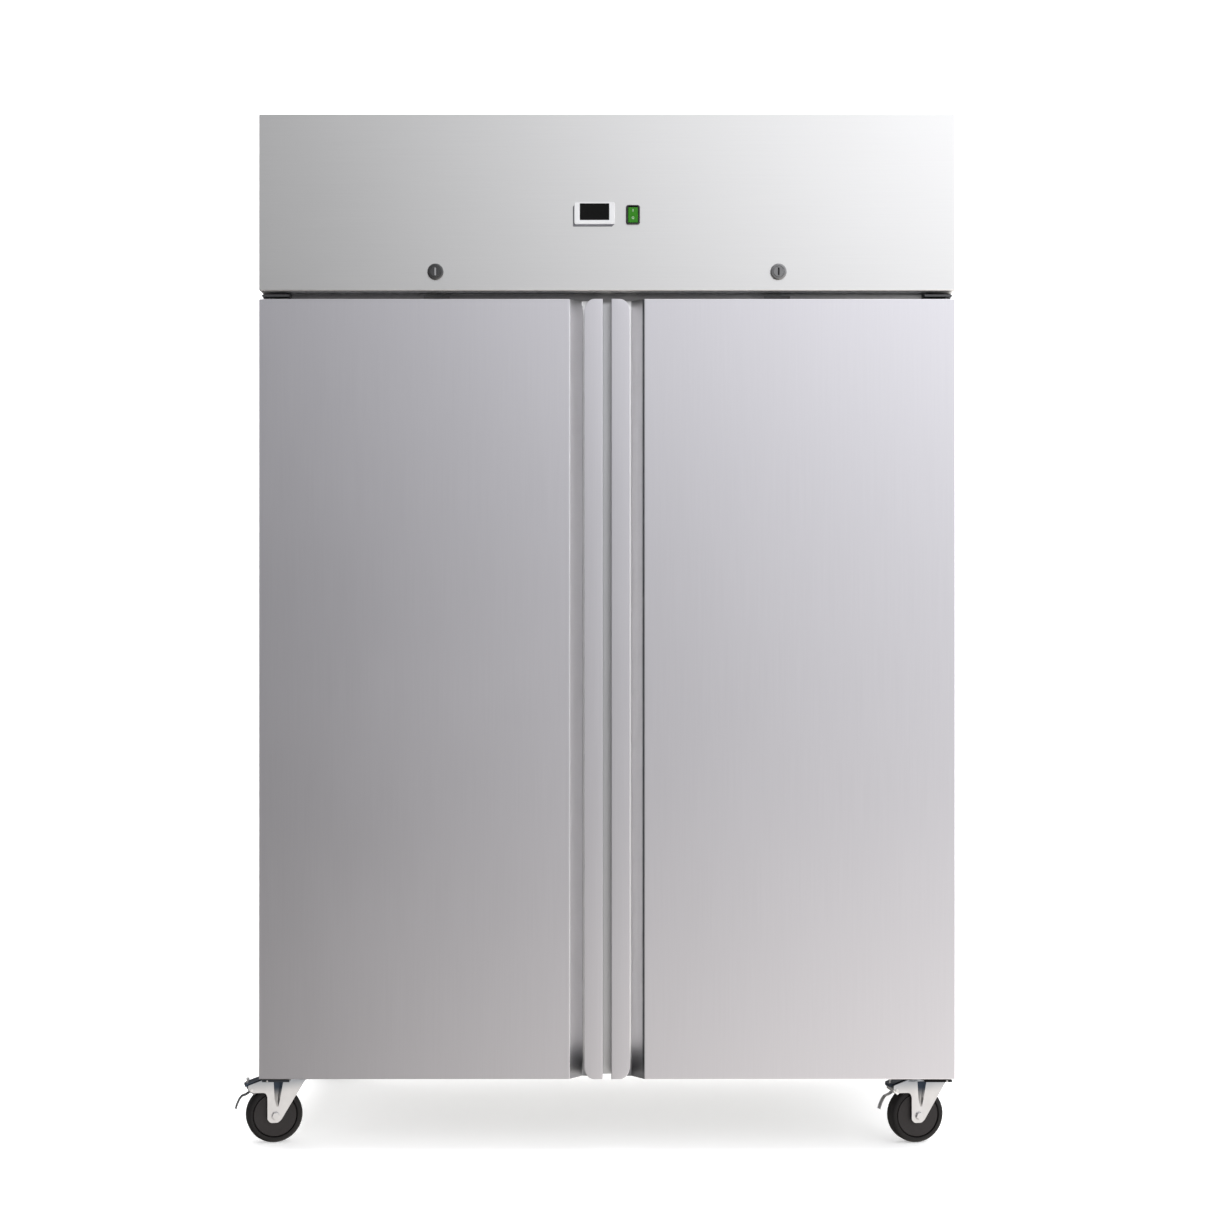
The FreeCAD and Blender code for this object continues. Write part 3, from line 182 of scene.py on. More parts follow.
def moulded(name, dark, light, rough, scale=500.0, depth=0.12, coat=0.0, shine=0.5):
    """Moulded plastic or rubber with a fine spark-eroded texture and slight cloudiness."""
    made, nodes, links, shader = new_material(name)
    cloud = noise(nodes, links, 9.0, detail=3.0)
    grain = noise(nodes, links, scale, detail=2.0)
    links.new(blend_colours(nodes, links, remap(nodes, links, cloud, 0, 1), dark, light),
              shader.inputs["Base Color"])
    links.new(remap(nodes, links, cloud, rough - 0.04, rough + 0.05), shader.inputs["Roughness"])
    links.new(bump(nodes, links, [(grain, depth, 0.0003)]), shader.inputs["Normal"])
    shader.inputs["Coat Weight"].default_value = coat
    shader.inputs["Specular IOR Level"].default_value = shine
    return made


def plated(name, dark, light, rough):
    """Zinc plating: cloudy tone at two scales and a very fine tumble texture."""
    made, nodes, links, shader = new_material(name)
    cloud = noise(nodes, links, 30.0, detail=5.0)
    grain = noise(nodes, links, 900.0, detail=2.0)
    links.new(blend_colours(nodes, links, remap(nodes, links, cloud, 0, 1), dark, light),
              shader.inputs["Base Color"])
    links.new(remap(nodes, links, cloud, rough - 0.05, rough + 0.07), shader.inputs["Roughness"])
    links.new(bump(nodes, links, [(grain, 0.10, 0.0002)]), shader.inputs["Normal"])
    shader.inputs["Metallic"].default_value = 1.0
    return made


def coordinate(nodes, links, output, axis):
    """One coordinate of the object's own place, or of the world's direction with output Generated."""
    where = nodes.new("ShaderNodeTexCoord")
    axes = nodes.new("ShaderNodeSeparateXYZ")
    links.new(where.outputs[output], axes.inputs["Vector"])
    return axes.outputs[axis]


def by_place(made, axis, low, high, colour):
    """Shades a material's own colour towards another one between two places on an axis, in mm; the script
    uses it to paint light and shade.
    """
    nodes, links = made.node_tree.nodes, made.node_tree.links
    shader = nodes["Principled BSDF"]
    share = ramp(nodes, links, coordinate(nodes, links, "Object", axis), low * MM, high * MM, 0.0, 1.0)
    own = shader.inputs["Base Color"].links[0].from_socket
    links.new(blend_colours(nodes, links, share, own, colour), shader.inputs["Base Color"])
    return made


def spangled(name, dark, light, rough):
    """Hot-dip zinc sheet: angular crystals that differ a little in tone and gloss."""
    made, nodes, links, shader = new_material(name)
    where = nodes.new("ShaderNodeTexCoord")
    cells = nodes.new("ShaderNodeTexVoronoi")
    cells.inputs["Scale"].default_value = 90.0
    links.new(where.outputs["Object"], cells.inputs["Vector"])
    part = nodes.new("ShaderNodeSeparateColor")
    links.new(cells.outputs["Color"], part.inputs["Color"])
    crystal = part.outputs["Red"]
    links.new(blend_colours(nodes, links, crystal, dark, light), shader.inputs["Base Color"])
    links.new(remap(nodes, links, crystal, rough - 0.06, rough + 0.08, 0, 1),
              shader.inputs["Roughness"])
    cloud = noise(nodes, links, 300.0, detail=2.0)
    links.new(bump(nodes, links, [(cloud, 0.06, 0.0003)]), shader.inputs["Normal"])
    shader.inputs["Metallic"].default_value = 1.0
    return made


def copper():
    made, nodes, links, shader = new_material("copper_tube")
    stain = noise(nodes, links, 40.0, detail=5.0)
    links.new(blend_colours(nodes, links, remap(nodes, links, stain, 0, 1),
                            (0.48, 0.20, 0.10), (0.83, 0.45, 0.29)), shader.inputs["Base Color"])
    links.new(remap(nodes, links, stain, 0.24, 0.42), shader.inputs["Roughness"])
    shader.inputs["Metallic"].default_value = 1.0
    return made


def foam_material():
    made, nodes, links, shader = new_material("foam_cells")
    cell = noise(nodes, links, 700.0, detail=4.0)
    links.new(blend_colours(nodes, links, remap(nodes, links, cell, 0, 1),
                            (0.66, 0.57, 0.34), (0.85, 0.78, 0.55)), shader.inputs["Base Color"])
    links.new(bump(nodes, links, [(cell, 0.6, 0.0008)]), shader.inputs["Normal"])
    shader.inputs["Roughness"].default_value = 0.9
    return made


# Brushing direction, and each finish. Where by_place shades a colour, it is painted light and shade: it
# stands in for the reflection of neighbouring metal that the plain studio doesn't give, and for the shade
# in the grip channels, in the gap above the doors, on the right side panel and on the casters under the
# cabinet.
VERTICAL = (1.0, 1.0, 0.012)
LEVEL_X = (0.012, 1.0, 1.0)
M = {
    "door_steel": steel("door_steel", (0.624, 0.615, 0.651), (0.640, 0.631, 0.668), 0.30, VERTICAL),
    # Grip channels: much lighter copies of the door steel, painted light for the light bounced about inside
    # them, with painted shade darkening them towards the bottom and a painted shadow of the header at the
    # top; the right one also has a painted dark line of shade in its outer corner.
    "channel_left": by_place(by_place(
        steel("channel_left", (0.90, 0.895, 0.91), (0.92, 0.915, 0.93), 0.34, VERTICAL),
        "Z", 215.0, 142.0, (0.24, 0.245, 0.26)), "Z", 1628.0, 1650.0, (0.40, 0.40, 0.41)),
    "channel_right": by_place(by_place(by_place(
        steel("channel_right", (0.92, 0.915, 0.93), (0.94, 0.935, 0.95), 0.34, VERTICAL),
        "X", 66.5, 70.5, (0.09, 0.09, 0.10)), "Z", 215.0, 142.0, (0.17, 0.175, 0.19)),
        "Z", 1628.0, 1650.0, (0.24, 0.24, 0.25)),
    # Header underside: a lighter copy of the header steel, with painted shade at its front edge and towards
    # its back, in the gap above the doors.
    "header_underside": by_place(by_place(
        steel("header_underside", (0.90, 0.90, 0.91), (0.93, 0.93, 0.94), 0.58, LEVEL_X),
        "Y", -401.0, -408.0, (0.15, 0.15, 0.155)), "Y", -370.0, -360.0, (0.30, 0.30, 0.305)),
    "header_steel": steel("header_steel", (0.652, 0.650, 0.651), (0.668, 0.666, 0.667), 0.30,
                          LEVEL_X),
    # Side panels: painted shade makes the right panel much darker than the left.
    "side_steel": by_place(
        steel("side_steel", (0.70, 0.705, 0.72), (0.72, 0.725, 0.74), 0.34, VERTICAL, relief=0.015),
        "X", -400.0, 400.0, (0.34, 0.342, 0.35)),
    # Front frame: painted shade in a dark band along its top, behind the gap above the doors; towards the
    # right the whole frame is blended to a middle grey, which also lightens that band there.
    "frame_steel": by_place(by_place(
        steel("frame_steel", (0.52, 0.525, 0.54), (0.55, 0.555, 0.57), 0.34, VERTICAL),
        "Z", 1638.0, 1647.0, (0.18, 0.18, 0.185)), "X", 100.0, 900.0, (0.46, 0.46, 0.465)),
    "liner_steel": steel("liner_steel", (0.60, 0.603, 0.612), (0.62, 0.623, 0.632), 0.38, VERTICAL,
                         relief=0.010, smudge=0.006),
    "zinc_sheet": spangled("zinc_sheet", (0.34, 0.35, 0.36), (0.44, 0.45, 0.46), 0.46),
    # Casters: painted shade darkens the zinc to a blue-grey towards the crown, under the cabinet; the
    # flutes take a darker copy with painted shade, near black towards their tops.
    "caster_zinc": by_place(plated("caster_zinc", (0.46, 0.456, 0.462), (0.55, 0.546, 0.552), 0.36),
                            "Z", 98.0, 130.0, (0.26, 0.28, 0.31)),
    "flute_zinc": by_place(plated("flute_zinc", (0.30, 0.295, 0.29), (0.36, 0.352, 0.346), 0.40),
                           "Z", 84.0, 112.0, (0.028, 0.036, 0.050)),
    "bracket_zinc": plated("bracket_zinc", (0.34, 0.34, 0.345), (0.46, 0.46, 0.465), 0.40),
    "dark_zinc": plated("dark_zinc", (0.045, 0.060, 0.090), (0.095, 0.115, 0.155), 0.38),
    # Hinge brackets: painted shade, near black on the lower right bracket, dark blue-grey on the lower left
    # one and dark grey on the top ones, each toned to the shade around it.
    "hinge_painted_shade": by_place(by_place(
        plated("hinge_painted_shade", (0.010, 0.010, 0.011), (0.018, 0.018, 0.019), 0.42),
        "X", 100.0, -100.0, (0.060, 0.066, 0.078)), "Z", 300.0, 400.0, (0.10, 0.10, 0.105)),
    # Brake pedals: painted shade keeps the left pedal dark and painted light turns the right one near
    # white.
    "pedal_zinc": by_place(plated("pedal_zinc", (0.12, 0.12, 0.125), (0.18, 0.18, 0.185), 0.40),
                           "X", 0.0, 400.0, (0.80, 0.80, 0.81)),
    "lock_dark": plated("lock_dark", (0.07, 0.07, 0.072), (0.11, 0.11, 0.112), 0.38),
    "lock_grey": plated("lock_grey", (0.17, 0.17, 0.175), (0.23, 0.23, 0.235), 0.36),
    "slot_light": plated("slot_light", (0.40, 0.40, 0.41), (0.48, 0.48, 0.49), 0.36),
    # Near black: painted shade for the depth of the right lock's keyway.
    "slot_dark": plated("slot_dark", (0.018, 0.018, 0.020), (0.030, 0.030, 0.032), 0.40),
    "lock_rim": plated("lock_rim", (0.50, 0.50, 0.505), (0.60, 0.60, 0.605), 0.30),
    "white_plastic": moulded("white_plastic", (0.60, 0.60, 0.61), (0.66, 0.66, 0.67), 0.46, shine=0.3),
    # Grey for the painted shadow round the controller's bezel.
    "shadow_grey": moulded("shadow_grey", (0.13, 0.13, 0.145), (0.17, 0.17, 0.185), 0.6, shine=0.2),
    "black_plastic": moulded("black_plastic", (0.012, 0.012, 0.013), (0.022, 0.022, 0.023), 0.38),
    "display": moulded("display", (0.003, 0.003, 0.003), (0.005, 0.005, 0.005), 0.12, 20.0, 0.0,
                       0.0, 0.06),
    "green_rocker": moulded("green_rocker", (0.020, 0.150, 0.005), (0.028, 0.190, 0.008), 0.30,
                            300.0, 0.04, 0.08, 0.2),
    "mark_white": moulded("mark_white", (0.36, 0.50, 0.33), (0.42, 0.56, 0.39), 0.5),
    "rubber": moulded("rubber", (0.006, 0.005, 0.005), (0.010, 0.009, 0.009), 0.55, 260.0, 0.25,
                      0.0, 0.2),
    "hub_black": moulded("hub_black", (0.013, 0.011, 0.011), (0.019, 0.016, 0.016), 0.50, 300.0, 0.2,
                         0.0, 0.25),
    "gasket": moulded("gasket", (0.045, 0.046, 0.048), (0.070, 0.071, 0.074), 0.55, 400.0, 0.15),
    "nylon": moulded("nylon", (0.62, 0.61, 0.55), (0.72, 0.71, 0.66), 0.45),
    "grey_box": moulded("grey_box", (0.30, 0.31, 0.32), (0.37, 0.38, 0.39), 0.5),
    "black_enamel": moulded("black_enamel", (0.010, 0.010, 0.010), (0.020, 0.020, 0.020), 0.32,
                            160.0, 0.25, 0.3),
    "shelf_coat": moulded("shelf_coat", (0.62, 0.63, 0.64), (0.72, 0.73, 0.74), 0.36, 220.0, 0.2, 0.3),
    "coil": steel("coil", (0.55, 0.56, 0.57), (0.72, 0.73, 0.74), 0.34, VERTICAL, 90.0, 0.2, 0.05),
    "copper": copper(),
    "foam": foam_material(),
}


# Mesh helpers. A bmesh collects shapes in millimetres; finish_piece turns it into a riding object.

def add_prism(bm, outline, axis, start, end):
    """Pushes a closed outline along an axis. The outline's two numbers are the other axes, in order."""
    others = [k for k in range(3) if k != axis]
    rings = []
    for level in (start, end):
        ring = []
        for p, q in outline:
            co = [0.0, 0.0, 0.0]
            co[axis] = level
            co[others[0]] = p
            co[others[1]] = q
            ring.append(bm.verts.new([c * MM for c in co]))
        rings.append(ring)
    bm.faces.new(rings[0])
    bm.faces.new(list(reversed(rings[1])))
    for k in range(len(outline)):
        n = (k + 1) % len(outline)
        bm.faces.new((rings[0][k], rings[1][k], rings[1][n], rings[0][n]))


def add_box(bm, x0, x1, y0, y1, z0, z1):
    add_prism(bm, [(x0, y0), (x1, y0), (x1, y1), (x0, y1)], 2, z0, z1)


def add_ring(bm, points):
    """New vertices at points given in millimetres."""
    return [bm.verts.new(Vector(p) * MM) for p in points]


def join_rings(bm, rings):
    """Faces between each ring of vertices and the next."""
    for low, high in zip(rings, rings[1:]):
        for k in range(len(low)):
            n = (k + 1) % len(low)
            bm.faces.new((low[k], low[n], high[n], high[k]))


def hexagon(cx, cz, radius, turn):
    """Six corners about a centre, the first one turned by this many degrees."""
    angles = [math.radians(60 * k + turn) for k in range(6)]
    return [(cx + radius * math.cos(a), cz + radius * math.sin(a)) for a in angles]


def add_lathe(bm, profile, origin, axis, segments=48):
    """Turns (radius, along) pairs about a line; a radius of zero closes the end with a point."""
    axis = Vector(axis).normalized()
    side = axis.orthogonal().normalized()
    up = axis.cross(side)
    origin = Vector(origin)
    rings = []
    for radius, along in profile:
        centre = origin + axis * along
        if radius < 1e-6:
            rings.append([bm.verts.new(centre * MM)])
            continue
        angles = [2 * math.pi * k / segments for k in range(segments)]
        rings.append([bm.verts.new((centre + side * (radius * math.cos(a))
                                    + up * (radius * math.sin(a))) * MM) for a in angles])
    for low, high in zip(rings, rings[1:]):
        for k in range(segments):
            n = (k + 1) % segments
            corners = [low[k % len(low)], low[n % len(low)], high[n % len(high)], high[k % len(high)]]
            corners = list(dict.fromkeys(corners))
            if len(corners) > 2:
                bm.faces.new(corners)


def rounded(points, radius, steps=5):
    """A closed outline with its corners rounded; radius is one number or one for each corner."""
    count = len(points)
    radii = radius if isinstance(radius, (list, tuple)) else [radius] * count
    out = []
    for k in range(count):
        here = Vector(points[k])
        before = (Vector(points[k - 1]) - here)
        after = (Vector(points[(k + 1) % count]) - here)
        if radii[k] <= 0:
            out.append(tuple(here))
            continue
        angle = before.angle(after)
        reach = min(radii[k] / math.tan(angle / 2), before.length * 0.49, after.length * 0.49)
        r = reach * math.tan(angle / 2)
        a = here + before.normalized() * reach
        b = here + after.normalized() * reach
        middle = here + (before.normalized() + after.normalized()).normalized() * (r / math.sin(angle / 2))
        va, vb = a - middle, b - middle
        sweep = va.angle_signed(vb)
        for s in range(steps + 1):
            out.append(tuple(middle + Matrix.Rotation(-sweep * s / steps, 2) @ va))
    return out


def finish_piece(name, bm, body, material, replaces=(), bevel=0.0, segments=2, angle=30.0,
                 second=None, where=None):
    """Makes the riding object. Faces whose middle, in mm, passes where() take the second material."""
    bmesh.ops.remove_doubles(bm, verts=bm.verts, dist=1e-7)
    bmesh.ops.recalc_face_normals(bm, faces=bm.faces)
    mesh = bpy.data.meshes.new(name)
    bm.to_mesh(mesh)
    bm.free()
    for face in mesh.polygons:
        face.use_smooth = True
    mesh.set_sharp_from_angle(angle=math.radians(angle))
    mesh.materials.append(M[material])
    if second:
        mesh.materials.append(M[second])
        for face in mesh.polygons:
            face.material_index = int(where(face.center / MM))
    piece = bpy.data.objects.new(name, mesh)
    SCENE.collection.objects.link(piece)
    if bevel:
        soften(piece, bevel, segments, angle)
    flatten = piece.modifiers.new("flat_faces", "WEIGHTED_NORMAL")
    flatten.keep_sharp = True
    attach(piece, body)
    if replaces:
        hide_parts(*replaces)
    return piece


def soften(piece, width, segments=2, angle=30.0):
    made = piece.modifiers.new("edge", "BEVEL")
    made.width = width * MM
    made.segments = segments
    made.limit_method = "ANGLE"
    made.angle_limit = math.radians(angle)
    made.harden_normals = True
    made.use_clamp_overlap = True


def dress(node, material, bevel=0.0, segments=2):
    """Gives a CAD node its material and, where asked, a small edge radius."""
    piece = NODES[node]
    piece.data.materials.clear()
    piece.data.materials.append(M[material])
    if bevel:
        soften(piece, bevel, segments, 35.0)


# Doors. side is -1 on the left and +1 on the right; u runs outward from the centre plane and
# v back from the door's face.

DOOR_EDGE_U = 670.0
PAN_DEPTH = 46.0
FOLD_U = 72.4
CHANNEL_DEPTH = 31.0
CENTRE_U = 8.2
LIP_END = 44.0
LIP_THICK = 2.4
LIP_CORNER = (19.0, 25.0)
STRIKE_HALF = 25.0
GASKET_U = (14.0, 642.0)
GASKET_Z = (166.0, 1630.0)


def make_door(side):
    name = "left" if side < 0 else "right"
    make_pan(side, name)
    make_lip(side, name)
    make_strike(side, name)
    make_gasket(side, name)
    for part, material, edge in (("liner", "liner_steel", 0.8), ("foam", "foam", 0.0),
                                 ("pivot_bushes", "nylon", 0.0)):
        dress(f"door_{name}_{part}", material, edge)


def make_pan(side, name):
    """The door's folded skin: a flat face, then a slanted wall and a floor that make the grip channel."""
    section = [(DOOR_EDGE_U, 0.0), (FOLD_U, 0.0), (48.0, CHANNEL_DEPTH), (CENTRE_U, CHANNEL_DEPTH),
               (CENTRE_U, PAN_DEPTH), (DOOR_EDGE_U, PAN_DEPTH)]
    outline = rounded([(side * u, FRONT + v) for u, v in section], [0, 1.4, 3.0, 0, 0, 0], 4)
    bm = bmesh.new()
    add_prism(bm, outline, 2, DOOR_BOTTOM, DOOR_TOP)
    # The channel's inner faces take the channel steel: painted light inside, painted shade at the ends.
    finish_piece(f"door_{name}_pan", bm, f"door_{name}", "door_steel",
                 (f"door_{name}_skin",), bevel=1.2, segments=3, second=f"channel_{name}",
                 where=lambda c: abs(c.x) < FOLD_U - 0.5 and FRONT + 0.6 < c.y < FRONT + 32)


def make_lip(side, name):
    """The handle lip. Its free edge draws in round two corners, with a ring of points at each height."""
    bm = bmesh.new()
    rings = []
    for z, pull in lip_rows():
        free = LIP_END - pull
        section = [(CENTRE_U, CHANNEL_DEPTH), (CENTRE_U, 1.4), (8.6, 0.4), (9.6, 0.0), (free - 1.0, 0.0),
                   (free - 0.3, 0.3), (free, 1.0), (free, LIP_THICK - 0.5), (free - 0.5, LIP_THICK),
                   (11.8, LIP_THICK), (10.6, LIP_THICK + 1.2), (10.6, CHANNEL_DEPTH)]
        rings.append(add_ring(bm, [(side * u, FRONT + v, z) for u, v in section]))
    join_rings(bm, rings)
    bm.faces.new(rings[0])
    bm.faces.new(list(reversed(rings[-1])))
    # The lip's back and side faces take the channel steel, with its painted light and painted shade.
    finish_piece(f"door_{name}_grip_lip", bm, f"door_{name}", "door_steel",
                 (f"door_{name}_skin",), angle=50.0, second=f"channel_{name}",
                 where=lambda c: c.y > FRONT + 2.2)


def make_strike(side, name):
    """The small angle on the door's top that the lock's cam drops behind."""
    bm = bmesh.new()
    x0, x1 = sorted((side * (LOCK_X - STRIKE_HALF), side * (LOCK_X + STRIKE_HALF)))
    angle = [(34.5, 0.0), (46.0, 0.0), (46.0, 1.5), (36.0, 1.5), (36.0, 10.0), (34.5, 10.0)]
    add_prism(bm, [(FRONT + v, DOOR_TOP + rise) for v, rise in angle], 0, x0, x1)
    finish_piece(f"door_{name}_lock_strike", bm, f"door_{name}", "lock_dark",
                 bevel=0.4)


def lip_rows():
    """Heights up the lip, and how far its free edge is drawn in there by the rounded corners."""
    turn = [math.radians(a) for a in range(0, 91, 9)]
    low = [(DOOR_BOTTOM + LIP_CORNER[1] * (1 - math.cos(a)), LIP_CORNER[0] * (1 - math.sin(a)))
           for a in turn]
    middle = [(DOOR_BOTTOM + (DOOR_TOP - DOOR_BOTTOM) * k / 6, 0.0) for k in range(1, 6)]
    high = [(DOOR_TOP - (z - DOOR_BOTTOM), pull) for z, pull in reversed(low)]
    return low + middle + high


def make_gasket(side, name):
    """A mitred frame of bellows section: clip foot, two folds and the magnet bead at the front."""
    section = [(0.0, 48.0), (0.0, 49.4), (1.6, 49.7), (2.6, 50.3), (1.2, 51.2), (0.4, 52.2),
               (0.5, 53.2), (1.6, 53.7), (10.4, 53.7), (11.5, 53.2), (11.6, 52.2), (10.8, 51.2),
               (9.4, 50.3), (10.4, 49.7), (12.0, 49.4), (12.0, 48.0)]
    bm = bmesh.new()
    loops = []
    for inset, v in section:
        u0, u1 = GASKET_U[0] + inset, GASKET_U[1] - inset
        z0, z1 = GASKET_Z[0] + inset, GASKET_Z[1] - inset
        corners = ((u0, z0), (u1, z0), (u1, z1), (u0, z1))
        loops.append(add_ring(bm, [(side * u, FRONT + v, z) for u, z in corners]))
    join_rings(bm, loops + loops[:1])
    finish_piece(f"door_{name}_seal", bm, f"door_{name}", "gasket",
                 (f"door_{name}_gasket",), angle=50.0)


for door_side in (-1, 1):
    make_door(door_side)


# Header panel: an open-backed tray with rounded folds, thickened inwards. Each lock's cam drops
# through a slot in its underside.

SHEET = 1.2
CAM_SLOT_X = (284.0, 342.0)
CAM_SLOT_Y = (-378.0, -368.0)

def add_panel_with_holes(bm, x0, x1, y0, y1, z, holes):
    """A level rectangle of faces that leaves out the holes, each given as (x0, x1, y0, y1)."""
    xs = sorted({x0, x1, *(h[0] for h in holes), *(h[1] for h in holes)})
    ys = sorted({y0, y1, *(h[2] for h in holes), *(h[3] for h in holes)})
    for a, b in zip(xs, xs[1:]):
        for c, d in zip(ys, ys[1:]):
            if any(h[0] <= a and b <= h[1] and h[2] <= c and d <= h[3] for h in holes):
                continue
            bm.faces.new(add_ring(bm, [(a, c, z), (b, c, z), (b, d, z), (a, d, z)]))


def add_strip(bm, points, xs):
    """Faces across the whole width that follow a line of (y, z) points, split at each x."""
    for a, b in zip(points, points[1:]):
        for c, d in zip(xs, xs[1:]):
            bm.faces.new(add_ring(bm, [(c, *a), (d, *a), (d, *b), (c, *b)]))


def make_header():
    bm = bmesh.new()
    low, high = CAM_SLOT_X
    slots = [(-high, -low, *CAM_SLOT_Y), (low, high, *CAM_SLOT_Y)]
    add_panel_with_holes(bm, -SIDE, SIDE, FRONT, HEADER_REAR, HEADER_BOTTOM, slots)
    top_rear = (HEADER_PIVOT[0], HEIGHT)
    add_strip(bm, [(FRONT, HEADER_BOTTOM), (FRONT, HEIGHT), top_rear],
              [-SIDE, -high, -low, low, high, SIDE])
    bottom = [(y, HEADER_BOTTOM) for y in (FRONT, *CAM_SLOT_Y, HEADER_REAR)]
    cheek = bottom + [(HEADER_REAR, HEADER_PIVOT[1]), top_rear, (FRONT, HEIGHT)]
    for x in (-SIDE, SIDE):
        bm.faces.new(add_ring(bm, [(x, y, z) for y, z in cheek]))
    bmesh.ops.remove_doubles(bm, verts=bm.verts, dist=1e-6)
    bmesh.ops.recalc_face_normals(bm, faces=bm.faces)
    # The underside takes header_underside, with painted shade in the gap above the doors.
    tray = finish_piece("header_tray", bm, "header", "header_steel",
                        ("header_panel",), bevel=1.8, segments=4, second="header_underside",
                        where=lambda c: c.z < HEADER_BOTTOM + 0.5)
    thick = tray.modifiers.new("sheet", "SOLIDIFY")
    thick.thickness = SHEET * MM
    thick.offset = -1.0

    bm = bmesh.new()
    add_box(bm, -SIDE + 1.3, SIDE - 1.3, HEADER_REAR - SHEET, HEADER_REAR,
            HEADER_BOTTOM + SHEET, HEADER_BOTTOM + 14)
    finish_piece("header_return", bm, "header", "header_steel", bevel=0.4)


make_header()


# Controls on the header: controller, switch, locks.

def rectangle(cx, cz, half_width, half_height):
    return [(cx - half_width, cz - half_height), (cx + half_width, cz - half_height),
            (cx + half_width, cz + half_height), (cx - half_width, cz + half_height)]


def add_plate(bm, centre, size, y0, y1, radius, steps=5):
    """A rounded plate facing forward: centre and size in X and Z, from depth y0 to y1."""
    add_prism(bm, rounded(rectangle(*centre, size[0] / 2, size[1] / 2), radius, steps), 1, y0, y1)


def add_bezel(bm, cx, cz, steps):
    """Rings of (outline, depth, scale about the centre), joined in turn and closed at the first."""
    rings = [add_ring(bm, [(cx + (x - cx) * scale, y, cz + (z - cz) * scale) for x, z in outline])
             for outline, y, scale in steps]
    join_rings(bm, rings)
    bm.faces.new(rings[0])


def make_controller():
    cx, cz = CONTROLLER
    dz = cz + 2.3
    bm = bmesh.new()
    outer = rounded(rectangle(cx, cz, 39, 21), 3.0, 5)
    inner = rounded(rectangle(cx, dz, 28.3, 16), 0.6, 5)
    # The bezel steps in from the panel to its rounded front, then drops to the window.
    add_bezel(bm, cx, cz, ((outer, FRONT, 1.0), (outer, FRONT - 4.4, 0.998), (outer, FRONT - 5.5, 0.985),
                           (outer, FRONT - 6.0, 0.965), (inner, FRONT - 6.0, 1.02),
                           (inner, FRONT - 5.6, 1.0), (inner, FRONT - 5.2, 1.0)))
    add_box(bm, cx - 35.5, cx + 35.5, FRONT, FRONT + 58, cz - 14.5, cz + 14.5)
    finish_piece("controller_housing", bm, "header", "white_plastic",
                 ("controller_case",), angle=50.0)

    # Painted shadow: a thin grey sheet under the bezel reaches out low and to the left, so it shows along
    # those two edges as the bezel's cast shadow.
    bm = bmesh.new()
    seal = [(cx - 41.6, cz - 25.4), (cx + 33.6, cz - 25.4), (cx + 38.0, cz - 21.0),
            (cx + 38.0, cz + 16.0), (cx - 38.6, cz + 16.0), (cx - 41.6, cz + 13.0)]
    add_prism(bm, rounded(seal, [1.5, 1, 1, 1, 1, 1], 3), 1, FRONT - 0.9, FRONT)
    finish_piece("controller_shadow_sheet", bm, "header", "shadow_grey", bevel=0.25)

    bm = bmesh.new()
    add_plate(bm, (cx, dz), (56.6, 32.0), FRONT - 5.9, FRONT - 5.2, 0.6)
    finish_piece("controller_window", bm, "header", "display",
                 ("controller_display",), bevel=0.25)


make_controller()


def make_switch_surround():
    """The rounded frame, an open-fronted socket behind it and three terminals."""
    sx, sz = SWITCH
    bm = bmesh.new()
    outer = rounded(rectangle(sx, sz, 13.5, 18.7), 4.6, 6)
    inner = rounded(rectangle(sx, sz, 10, 16), 2.2, 6)
    add_bezel(bm, sx, sz, ((outer, FRONT, 1.0), (outer, FRONT - 3.4, 1.0), (outer, FRONT - 4.5, 0.97),
                           (outer, FRONT - 5.0, 0.92), (inner, FRONT - 5.0, 1.04),
                           (inner, FRONT - 4.6, 1.0), (inner, FRONT + 0.5, 1.0)))
    add_box(bm, sx - 11, sx + 11, FRONT + 12.5, FRONT + 24, sz - 15, sz + 15)
    for x in (sx - 11, sx + 10.2):
        add_box(bm, x, x + 0.8, FRONT + 0.6, FRONT + 12.5, sz - 15, sz + 15)
    for z in (sz - 15, sz + 14.2):
        add_box(bm, sx - 10.2, sx + 10.2, FRONT + 0.6, FRONT + 12.5, z, z + 0.8)
    for x in (sx - 6, sx, sx + 6):
        add_box(bm, x - 0.4, x + 0.4, FRONT + 24, FRONT + 31, sz - 3.1, sz + 3.1)
    finish_piece("switch_surround", bm, "header", "black_plastic",
                 ("switch_frame",), angle=50.0)


def make_rocker():
    """The rocker and its generic on and off marks, built level and tipped about its pin."""
    sx, sz = SWITCH
    y = FRONT + 2.0
    tilt = Matrix.Translation(Vector((sx, y, sz)) * MM) @ Matrix.Rotation(math.radians(7.0), 4, "X") \
        @ Matrix.Translation(Vector((-sx, -y, -sz)) * MM)
    face = [(y - 8.4 - 1.2 * (abs(t) ** 1.6), sz + 14.5 * t) for t in (k / 5 for k in range(-5, 6))]
    outline = face + [(y - 4.0, sz + 13.0), (y + 3.5, sz + 3), (y + 3.5, sz - 3), (y - 4.0, sz - 13.0)]
    bm = bmesh.new()
    add_prism(bm, outline, 0, sx - 9.3, sx + 9.3)
    bm.transform(tilt)
    finish_piece("rocker_cap", bm, "switch_rocker", "green_rocker",
                 ("switch_rocker",), bevel=0.7, segments=3, angle=40.0)

    bm = bmesh.new()
    add_plate(bm, (sx, sz + 8.6), (1.3, 4.8), y - 9.25, y - 8.6, 0.5, 3)
    ring = [(1.5, -0.30), (1.5, 0.30), (2.5, 0.30), (2.5, -0.30), (1.5, -0.30)]
    add_lathe(bm, ring, (sx, y - 8.8, sz - 5.4), (0, 1, 0), 32)
    bm.transform(tilt)
    finish_piece("rocker_marks", bm, "switch_rocker", "mark_white")


